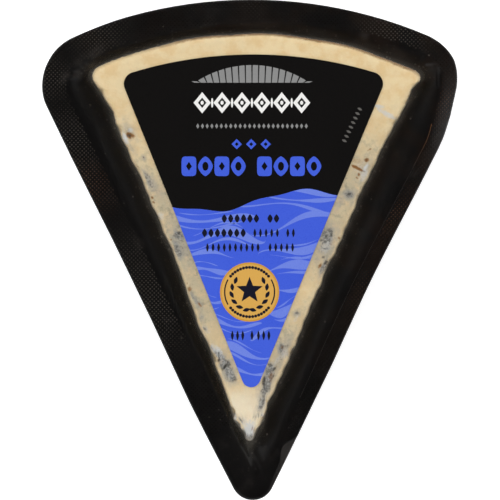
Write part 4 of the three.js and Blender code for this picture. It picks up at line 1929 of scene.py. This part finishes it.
@dataclass
class Ribbon:
    """A pale ribbon of the label's lower field, tapered at both ends, in millimetres."""

    start: tuple[float, float]
    end: tuple[float, float]
    bow: float
    turns: float
    width: float

    def shapes(self, ceiling: Callable[[Array], Array]) -> list[Shape]:
        """Makes the ribbon and, beside a broad one, the fine lines that run along it, all kept under a line.

        Args:
            ceiling: The highest Y for each X.

        Returns:
            The shapes.
        """
        shapes = [self._line(ceiling, 0.0, 1.0, 0.0)]
        if self.width > 1.8:
            shapes.append(self._line(ceiling, -0.5 * self.width - 0.65, 0.3, 0.14))
            shapes.append(self._line(ceiling, 0.5 * self.width + 0.5, 0.2, 0.24))
        return shapes

    def _line(self, ceiling: Callable[[Array], Array], aside: float, slim: float, inset: float) -> Shape:
        """Makes one line along the ribbon's path.

        Args:
            ceiling: Gives the highest place that it may reach.
            aside: How far to the side of the path it runs.
            slim: Its share of the ribbon's width.
            inset: The share of the path that it leaves free at either end.

        Returns:
            The shape.
        """
        t = np.linspace(0.0, 1.0, 64)
        s = mix(inset, 1 - inset, t)
        start, end = np.array(self.start), np.array(self.end)
        along = (end - start) / np.hypot(*(end - start))
        normal = np.array((-along[1], along[0]))
        sway = self.bow * np.sin(math.tau * self.turns * s + self.start[1]) * np.sin(math.pi * s) ** 0.3
        off = sway + aside * np.sin(math.pi * s) ** 0.4
        middle = start + np.outer(s, end - start) + np.outer(off, normal)
        taper = np.sin(math.pi * t) ** 0.55
        half = slim * self.width / 2 * taper * (0.62 + 0.38 * np.sin(7.0 * t + self.end[1]))
        upper, lower = middle + np.outer(half, normal), middle - np.outer(half, normal)
        for line in (upper, lower):
            line[:, 1] = np.minimum(line[:, 1], ceiling(line[:, 0]) - (0.05 if line is upper else 0.06))
        return Shapes.strip(upper, lower)


@dataclass
class FrontLabel:
    """The printed label: a sheet with layers of ink, all following the face of the pack."""

    sheet_lift: float = 0.14
    sheet_thickness: float = 0.1
    ink_thickness: float = 0.02
    ribbon_step: float = 0.003
    grid: float = 1.5
    roundel: Circle = Circle(-0.1, -10.4, 7.4)
    # each ribbon's start, end, bow, turns and width
    ribbons: tuple[Ribbon, ...] = tuple(Ribbon(*row) for row in (
        ((-24.0, 9.0), (2.0, 7.6), 1.3, 0.8, 2.4), ((1.0, 15.4), (27.0, 15.0), 0.0, 0.5, 4.4),
        ((-4.0, 11.6), (26.0, 8.6), 1.4, 0.9, 1.2), ((-22.0, 12.2), (-3.0, 11.0), 0.9, 0.8, 1.0),
        ((0.0, 4.2), (26.0, 9.6), 1.6, 1.0, 1.6), ((-20.0, 3.6), (4.0, 2.6), 2.0, 1.1, 3.0),
        ((2.0, -1.4), (22.0, 3.6), -1.6, 0.8, 2.2), ((-18.0, -1.0), (-4.0, -1.8), 1.2, 0.7, 1.3),
        ((-17.0, -5.8), (-5.0, -5.0), 1.1, 0.6, 2.4), ((4.0, -5.8), (20.0, -2.2), 1.0, 0.7, 2.6),
        ((5.0, -10.0), (16.0, -8.6), 0.8, 0.7, 1.1), ((-16.0, -11.0), (-6.0, -12.4), 1.2, 0.7, 2.2),
        ((4.0, -15.4), (15.0, -13.0), 1.2, 0.8, 2.6), ((-13.0, -17.4), (3.0, -18.2), 1.3, 0.8, 1.9),
        ((0.0, -22.4), (11.0, -18.2), -1.2, 0.8, 1.5), ((-10.0, -24.4), (7.0, -26.0), 1.6, 0.8, 2.4),
        ((-6.0, -29.4), (6.0, -30.4), 1.0, 0.7, 1.6),
    ))

    def build(self, inks: dict[LabelInk, Material]) -> None:
        """Makes the sheet and its inks, and puts the sheet in place of the label's plain solid.

        Args:
            inks: A material for each ink.
        """
        outline = DRAWING.label.edge((14, 30, 16, 60, 16, 30)).points
        level = self.sheet_lift + self.sheet_thickness
        sheet = Shapes.fan(outline, (INSCRIBED.x, INSCRIBED.y))
        mesh = self._plate("label_sheet", sheet, self.sheet_lift, level)
        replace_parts(Piece.place("label_sheet", mesh, "label", inks[LabelInk.BLACK]), "front_label")
        x, y, r = self.roundel.x, self.roundel.y, self.roundel.r
        layers = (
            ("label_lower_field", self._lower_field(outline), LabelInk.BLUE, 0),
            ("label_ribbons", self._trimmed_ribbons(), LabelInk.PALE_BLUE, 1),
            ("label_shell", self._shell(), LabelInk.GREY, 0),
            ("label_white_row", self._white_row(), LabelInk.WHITE, 0),
            ("label_fine_row", self._fine_row(), LabelInk.GREY, 0),
            ("label_blue_rows", self._blue_rows(), LabelInk.BLUE, 0),
            ("label_dark_rows", self._dark_rows(), LabelInk.DARK, 2),
            ("label_side_row", self._side_row(), LabelInk.DIM_GREY, 0),
            ("label_roundel_rim", Shapes.dot(x, y, 2 * r, 2 * r, 2), LabelInk.DEEP_GOLD, 2),
            ("label_roundel", Shapes.dot(x, y, 2 * r - 0.9, 2 * r - 0.9, 2), LabelInk.GOLD, 3),
            ("label_roundel_marks", self._roundel_marks(), LabelInk.DARK, 4),
        )
        for name, shape, ink, layer in layers:
            low = level + (layer - 0.5) * self.ink_thickness
            ink_mesh = self._plate(name, shape, low, level + (layer + 1) * self.ink_thickness)
            Piece.place(name, ink_mesh, "label", inks[ink])

    def _plate(self, name: str, shape: Shape, low: float, high: float) -> Mesh:
        """Makes a thin closed plate of a flat shape, bent to the face of the pack.

        Args:
            name: The mesh's name.
            shape: The flat shape.
            low: Millimetres from the face of the cheese to its lower side.
            high: Millimetres from the face of the cheese to its upper side.

        Returns:
            The mesh.
        """
        flat = Shapes.opened(shape)
        for axis, normal in ((0, (1.0, 0.0, 0.0)), (1, (0.0, 1.0, 0.0))):
            first, last = shape[0][:, axis].min() / self.grid, shape[0][:, axis].max() / self.grid
            for line in range(math.floor(first) + 1, math.ceil(last)):
                Shapes.cut(flat, [line * self.grid * part for part in normal], normal)
        spots, faces = Shapes.read(flat)
        count = len(spots)
        sides = []
        for edge in flat.edges:
            if len(edge.link_faces) == 1:
                loop = edge.link_loops[0]
                start, stop = loop.vert.index, loop.link_loop_next.vert.index
                sides.append([stop, start, count + start, count + stop])
        flat.free()
        heights = FACE.height(spots[:, 0], spots[:, 1]) + spots[:, 2]
        points = np.vstack([np.column_stack((spots[:, :2], heights + lift)) for lift in (high, low)])
        under = [[count + n for n in reversed(face)] for face in faces]
        return Piece.mesh(name, points, faces + under + sides, smooth_faces=False)

    @staticmethod
    def wave(x: Array) -> Array:
        """Gives the height of the line between the black field and the blue one."""
        return 12.2 + 0.085 * x + 1.7 * np.sin((x - 2.0) / 6.2) + 0.35 * np.sin(x / 2.1 + 1.0)

    def _lower_field(self, outline: Array) -> Shape:
        """Makes the blue field, from the wavy line down to the label's tip.

        Args:
            outline: The label's outline.

        Returns:
            The shape.
        """
        below = outline[:, 1] < self.wave(outline[:, 0])
        first = int(np.argmax(~below))
        last = len(below) - 1 - int(np.argmax(~below[::-1]))
        right = self._crossing(outline[first - 1], outline[first])
        left = self._crossing(outline[(last + 1) % len(outline)], outline[last])
        x = np.linspace(right[0], left[0], 90)[1:-1]
        crest = np.column_stack((x, self.wave(x)))
        return Shapes.fan(np.vstack((outline[last + 1 :], outline[:first], right, crest, left)), (0.3, -4.0))

    def _crossing(self, inside: Array, outside: Array) -> Array:
        """Finds where a side of the label crosses the wavy line, between a point below it and one above.

        Args:
            inside: A point below the line.
            outside: One above it.

        Returns:
            The point on the line.
        """
        for _ in range(30):
            middle = (inside + outside) / 2
            below = middle[1] < self.wave(middle[0])
            inside, outside = (middle, outside) if below else (inside, middle)
        return (inside + outside) / 2

    def _trimmed_ribbons(self) -> Shape:
        """Makes the pale ribbons, each a little higher than the last, and cuts them off at the label's sides.

        Returns:
            The shape, with lifts.
        """
        shapes = [shape for ribbon in self.ribbons for shape in ribbon.shapes(self.wave)]
        raised = []
        for n, (points, faces) in enumerate(shapes):
            lift = np.full((len(points), 1), self.ribbon_step * (n % 5))
            raised.append((np.hstack((points, lift)), faces))
        flat = Shapes.opened(Shapes.joined(raised))
        label = DRAWING.label
        for angle in (label.tip.tangent(label.right), label.left.tangent(label.tip)):
            outward = np.array((math.cos(angle), math.sin(angle)))
            place = (label.tip.x + outward[0] * label.tip.r, label.tip.y + outward[1] * label.tip.r, 0.0)
            Shapes.cut(flat, place, (*outward, 0.0), clear=True)
        shape = Shapes.read(flat)
        flat.free()
        return shape

    @staticmethod
    def _shell() -> Shape:
        """Makes the grey shell at the top: rays that widen from a flat foot to a low bowed crown.

        Returns:
            The shape.
        """
        foot, crown = 41.7, Circle(0.5, 20.8, 25.3)
        rays = []
        for ray in np.linspace(-13.6, 13.6, 18):
            half = 0.68
            top = [crown.y + math.sqrt(crown.r**2 - (ray * 1.06 + side) ** 2) for side in (half, -half)]
            corners = ((-half, foot), (half, foot), (ray * 0.06 + half, top[0]), (ray * 0.06 - half, top[1]))
            least = (foot, foot, foot + 0.35, foot + 0.35)
            outline = [(crown.x + ray + dx, max(y, low)) for (dx, y), low in zip(corners, least, strict=True)]
            rays.append(Shapes.fan(np.array(outline)))
        return Shapes.joined(rays)

    @staticmethod
    def _white_row() -> Shape:
        """Makes the white row: lozenge rings with dots between them.

        Returns:
            The shape.
        """
        shapes = []
        for x in -11.9 + 4.95 * np.arange(6):
            shapes += [Shapes.hollow(x, 36.7, (4.3, 5.3), (2.1, 2.6)), Shapes.dot(x, 36.7, 0.8, 1.0, 2)]
        shapes += [Shapes.dot(x, 36.7, 0.55, 2.4, 2) for x in -9.42 + 4.95 * np.arange(5)]
        return Shapes.joined(shapes)

    @staticmethod
    def _fine_row() -> Shape:
        """Makes the fine grey row of small lozenges below."""
        return Shapes.joined([Shapes.dot(x, 30.9, 0.8, 1.3) for x in np.linspace(-13.0, 14.0, 24)])

    @staticmethod
    def _blue_rows() -> Shape:
        """Makes the two blue rows on the black field: small lozenge rings, then two sets of tiles.

        Returns:
            The shape.
        """
        shapes = [Shapes.hollow(x, 26.4, (2.6, 2.6), (1.0, 1.0)) for x in (-3.3, 0.3, 3.9)]
        for places, outer, inner in (((-15.2, -7.0, 3.6, 11.8), 5, 1), ((-11.1, -2.9, 7.7, 15.9), 1.5, 2)):
            shapes += [Shapes.hollow(x, 20.9, (3.7, 4.9, outer), (1.5, 2.2, inner)) for x in places]
        return Shapes.joined(shapes)

    @staticmethod
    def _dark_rows() -> Shape:
        """Makes the rows of small dark marks on the blue field, bold and fine.

        Returns:
            The shape.
        """
        rows = (
            (7.9, 2.1, 1.3, (-6.4, -4.8, -3.2, -1.6, 0.0, 1.6, 5.0, 6.6)),
            (4.3, 2.1, 1.3, (-11.3, -9.7, -8.1, -6.5, -4.9, -3.3, -1.7)),
            (4.3, 2.1, 0.7, (1.2, 2.6, 4.0, 5.4, 6.8, 9.4, 10.8)),
            (0.7, 2.1, 0.7, (-10.6, -9.2, -7.8, -6.4, -5.0, -3.6, -2.2, -0.8, 0.6, 2.0)),
            (0.7, 2.1, 0.7, (5.0, 6.4, 7.8, 9.2, 10.6)),
            (-21.2, 2.4, 0.7, (-4.4, -3.1, -1.8, 0.5, 2.1, 3.4, 4.7)),
        )
        marks = [Shapes.dot(x, y, wide, tall, 1.3) for y, tall, wide, places in rows for x in places]
        return Shapes.joined(marks)

    @staticmethod
    def _side_row() -> Shape:
        """Makes the slanted row of thin marks near the label's right side."""
        places = [(25.4 + 3.85 * s, 31.2 + 7.9 * s) for s in np.linspace(-0.5, 0.5, 8)]
        return Shapes.joined([Shapes.dot(x, y, 0.62, 1.3, 1.4, 64) for x, y in places])

    def _roundel_marks(self) -> Shape:
        """Makes the roundel's marks: ring arcs, bows of beads, and a star between two sprigs.

        Returns:
            The shape.
        """
        x, y = self.roundel.x, self.roundel.y
        rays = np.where(np.arange(10) % 2 == 0, 3.4, 1.45)[:, None]
        angles = math.pi / 2 + np.arange(10) * math.pi / 5
        star = np.column_stack((np.cos(angles), np.sin(angles))) * rays + (x, y + 0.4)
        shapes = [Shapes.fan(star)]
        shapes += [Shapes.bow((x, y), 6.2, 0.32, start, start + 60) for start in (150, -30)]
        for angle in np.radians(np.concatenate((np.linspace(40, 140, 15), np.linspace(220, 320, 15)))):
            place = (x + 6.15 * math.cos(angle), y + 6.15 * math.sin(angle))
            shapes.append(Shapes.dot(*place, 0.74, 0.74, 2))
        for side in (-1, 1):
            for step in range(6):
                a = math.radians(-80 + 24 * step)
                place = (x + side * 4.5 * math.cos(a), y + 4.5 * math.sin(a))
                lean = side * (math.degrees(a) + 90 - 22)
                shapes.append(Shapes.dot(*place, 1.85, 0.95, 1.4, lean if side > 0 else 180 + lean))
        return Shapes.joined(shapes)


class PeelSliver:
    """The sliver of film that shows beyond the base film's edge beside the tip, painted grey as the sheen of
    the lifted film.
    """

    thickness: float = 0.06
    from_y: float = -61.6
    to_y: float = -45.6

    def build(self, material: Material) -> None:
        """Makes the sliver, just under the lid film.

        Args:
            material: Its look.
        """
        outer = DRAWING.pack_edge().moved(-0.03)
        inner = DRAWING.base_edge().moved(-0.5)
        here = np.flatnonzero((outer.x > 0) & (outer.y < self.to_y) & (outer.y > self.from_y))
        here = here[np.argsort(outer.y[here])]
        rows = []
        for share in np.linspace(0.0, 1.0, 6):
            ring = inner.towards(outer, share)
            x, y = ring.x[here], ring.y[here]
            z = DRAWING.rim_height(x, y, 1.0) + RELIEF.rise(x, y) * 0.25 - 0.02 - 0.15 * (1 - share)
            rows.append(np.column_stack((x, y, z)))
        count = len(here)
        upper = np.vstack(rows)
        lower = upper - (0.0, 0.0, self.thickness)
        total = len(upper)
        faces = quads(len(rows), count, closed=False)
        faces += [[total + n for n in reversed(face)] for face in faces]
        rim = list(range(count)) + [k * count + count - 1 for k in range(1, len(rows))]
        rim += range(total - 2, total - count - 1, -1)
        rim += [k * count for k in range(len(rows) - 2, 0, -1)]
        faces += [[a, b, total + b, total + a] for a, b in zip(rim, rim[1:] + rim[:1], strict=True)]
        mesh = Piece.mesh("peel_sliver", np.vstack((upper, lower)), faces)
        outside_in = bmesh.new()
        outside_in.from_mesh(mesh)
        bmesh.ops.recalc_face_normals(outside_in, faces=outside_in.faces[:])
        outside_in.to_mesh(mesh)
        outside_in.free()
        Piece.place("peel_sliver", mesh, "lid_film", material)


@dataclass(frozen=True)
class SealantAndSheenFilm:
    """The painted grey sheen of a film seen edge on and doubled, beside the tip, and the amber of the sealant
    line.
    """

    name: str
    tone: Tone
    far: Tone
    fades: tuple[float, float]
    roughness: float = 0.3

    def build(self, shared: SharedEffects) -> Material:
        """Builds the material.

        Args:
            shared: The effects that looks share.

        Returns:
            The material.
        """
        material, graph = new_material(self.name)
        place = graph.here()
        ripple = graph.ripple(shared, place, 300.0, 1400.0, 0.3)
        up = graph.add("ShaderNodeSeparateXYZ", {0: place}).outputs["Y"]
        patch = graph.maths("MULTIPLY_ADD", graph.ramp(graph.noise(place, 320.0), 0.3, 0.7), 0.5, 0.5)
        shown = graph.times(graph.ramp(up, *self.fades), patch)
        inputs = {
            "Base Color": graph.mix_colour(shown, linear(*self.far), linear(*self.tone)),
            "Roughness": self.roughness,
            "Normal": graph.bump(ripple, 0.0001),
        }
        graph.surface(graph.add("ShaderNodeBsdfPrincipled", inputs))
        return material


@dataclass(frozen=True)
class Softbox:
    """A large soft light: where it stands, how wide it is and how strong."""

    name: str
    place: tuple[float, float, float]
    size: tuple[float, float]
    power: float
    glare: bool = True

    def build(self) -> None:
        """Adds the light, aimed at the middle of the pack."""
        light = bpy.data.lights.new(self.name, "AREA")
        light.shape = "RECTANGLE"
        light.size, light.size_y = self.size
        light.energy = self.power
        thing = bpy.data.objects.new(self.name, light)
        thing.location = self.place
        aim = Vector((0.0, 0.0, 0.02)) - Vector(self.place)
        thing.rotation_euler = aim.to_track_quat("-Z", "Y").to_euler()
        thing.visible_glossy = self.glare
        bpy.context.scene.collection.objects.link(thing)


class Studio:
    """The floor, the lights and the camera."""

    camera_height: float = 0.9
    photo_pixels: int = 500
    floor_half: float = 3.0
    floor_level: float = -0.00005
    sky_pale: float = 1.0
    sky_dark: float = 0.015
    # how high the dark overhead starts and where it is full, as a share of straight up
    dark_from: float = 0.42
    dark_full: float = 0.76
    softboxes: tuple[Softbox, ...] = (
        Softbox("overhead_box", (-0.08, 0.14, 1.1), (1.5, 1.5), 12.7, glare=False),
        Softbox("left_box", (-0.8, 0.3, 0.42), (0.7, 1.0), 0.9),
        Softbox("right_box", (0.8, 0.1, 0.42), (0.7, 1.0), 0.9),
    )

    def build(self) -> None:
        """Builds the whole studio."""
        self._floor()
        self._world()
        for box in self.softboxes:
            box.build()
        self._camera()
        view = bpy.context.scene.view_settings
        view.view_transform = "Standard"
        view.look = "None"

    def _floor(self) -> None:
        """Lays a plain pale floor, just under the pack and clear from below."""
        mesh = bpy.data.meshes.new("floor")
        half, z = self.floor_half, self.floor_level
        corners = [(-half, -half, z), (half, -half, z), (half, half, z), (-half, half, z)]
        mesh.from_pydata(corners, [], [(0, 1, 2, 3)])
        floor = bpy.data.objects.new("floor", mesh)
        bpy.context.scene.collection.objects.link(floor)
        material, graph = new_material("floor_paint")
        inputs = {
            "Base Color": (0.8, 0.8, 0.8, 1.0),
            "Roughness": 0.9,
            "Emission Color": (1.0, 1.0, 1.0, 1.0),
            "Emission Strength": 0.6,
        }
        paint = graph.out("ShaderNodeBsdfPrincipled", inputs)
        below = graph.add("ShaderNodeNewGeometry").outputs["Backfacing"]
        clear = graph.out("ShaderNodeBsdfTransparent")
        graph.surface(graph.add("ShaderNodeMixShader", {0: below, 1: paint, 2: clear}))
        mesh.materials.append(material)

    def _world(self) -> None:
        """Makes the surroundings: dark overhead and pale towards the horizon."""
        world = bpy.data.worlds.new("studio_air")
        bpy.context.scene.world = world
        world.use_nodes = True
        graph = Graph(world.node_tree)
        ray = graph.add("ShaderNodeTexCoord").outputs["Generated"]
        up = graph.add("ShaderNodeSeparateXYZ", {0: ray}).outputs["Z"]
        dim = graph.ramp(up, self.dark_from, self.dark_full)
        pale, dark = ((shade, shade, shade, 1.0) for shade in (self.sky_pale, self.sky_dark))
        colour = graph.mix_colour(dim, pale, dark)
        sky = graph.out("ShaderNodeBackground", {"Color": colour, "Strength": 0.75})
        graph.add("ShaderNodeOutputWorld", {"Surface": sky})

    def _camera(self) -> None:
        """Puts the camera straight above, framed as the photograph is."""
        camera = bpy.data.cameras.new("camera")
        rim = DRAWING.seal_height * MM
        wide = self.photo_pixels * PHOTO_PITCH * MM
        camera.sensor_width = 36.0
        camera.lens = camera.sensor_width * self.camera_height / wide
        camera.clip_start = 0.05
        camera.clip_end = 20.0
        thing = bpy.data.objects.new("camera", camera)
        middle = from_photo(self.photo_pixels / 2, self.photo_pixels / 2)
        thing.location = ((middle[0] + SHIFT[0]) * MM, (middle[1] + SHIFT[1]) * MM, rim + self.camera_height)
        bpy.context.scene.collection.objects.link(thing)
        bpy.context.scene.camera = thing


def main() -> None:
    """Builds the pack piece by piece and then the studio."""
    logging.basicConfig(level=logging.INFO, format="%(name)s: %(message)s")
    shared = SharedEffects()
    black = BlackFilm().build(shared)
    BaseFilm().build(black)
    CheeseWedge().build(CheesePaste().build())
    LidFilm().build(ClearFilm().build(shared))
    KnurledSeal().build(KnurledFilm().build())
    SealLine().build(SealantAndSheenFilm("sealant_amber", (116, 70, 28), (24, 20, 17), (0.019, 0.033)).build(shared))
    # grey painted as the sheen of the lifted film
    PeelSliver().build(SealantAndSheenFilm("peel_painted_sheen", (46, 43, 41), (31, 28, 27), (-0.062, -0.05)).build(shared))
    FrontLabel().build({ink: ink.value.build(shared) for ink in LabelInk})
    Studio().build()


if __name__ == "__main__":
    main()
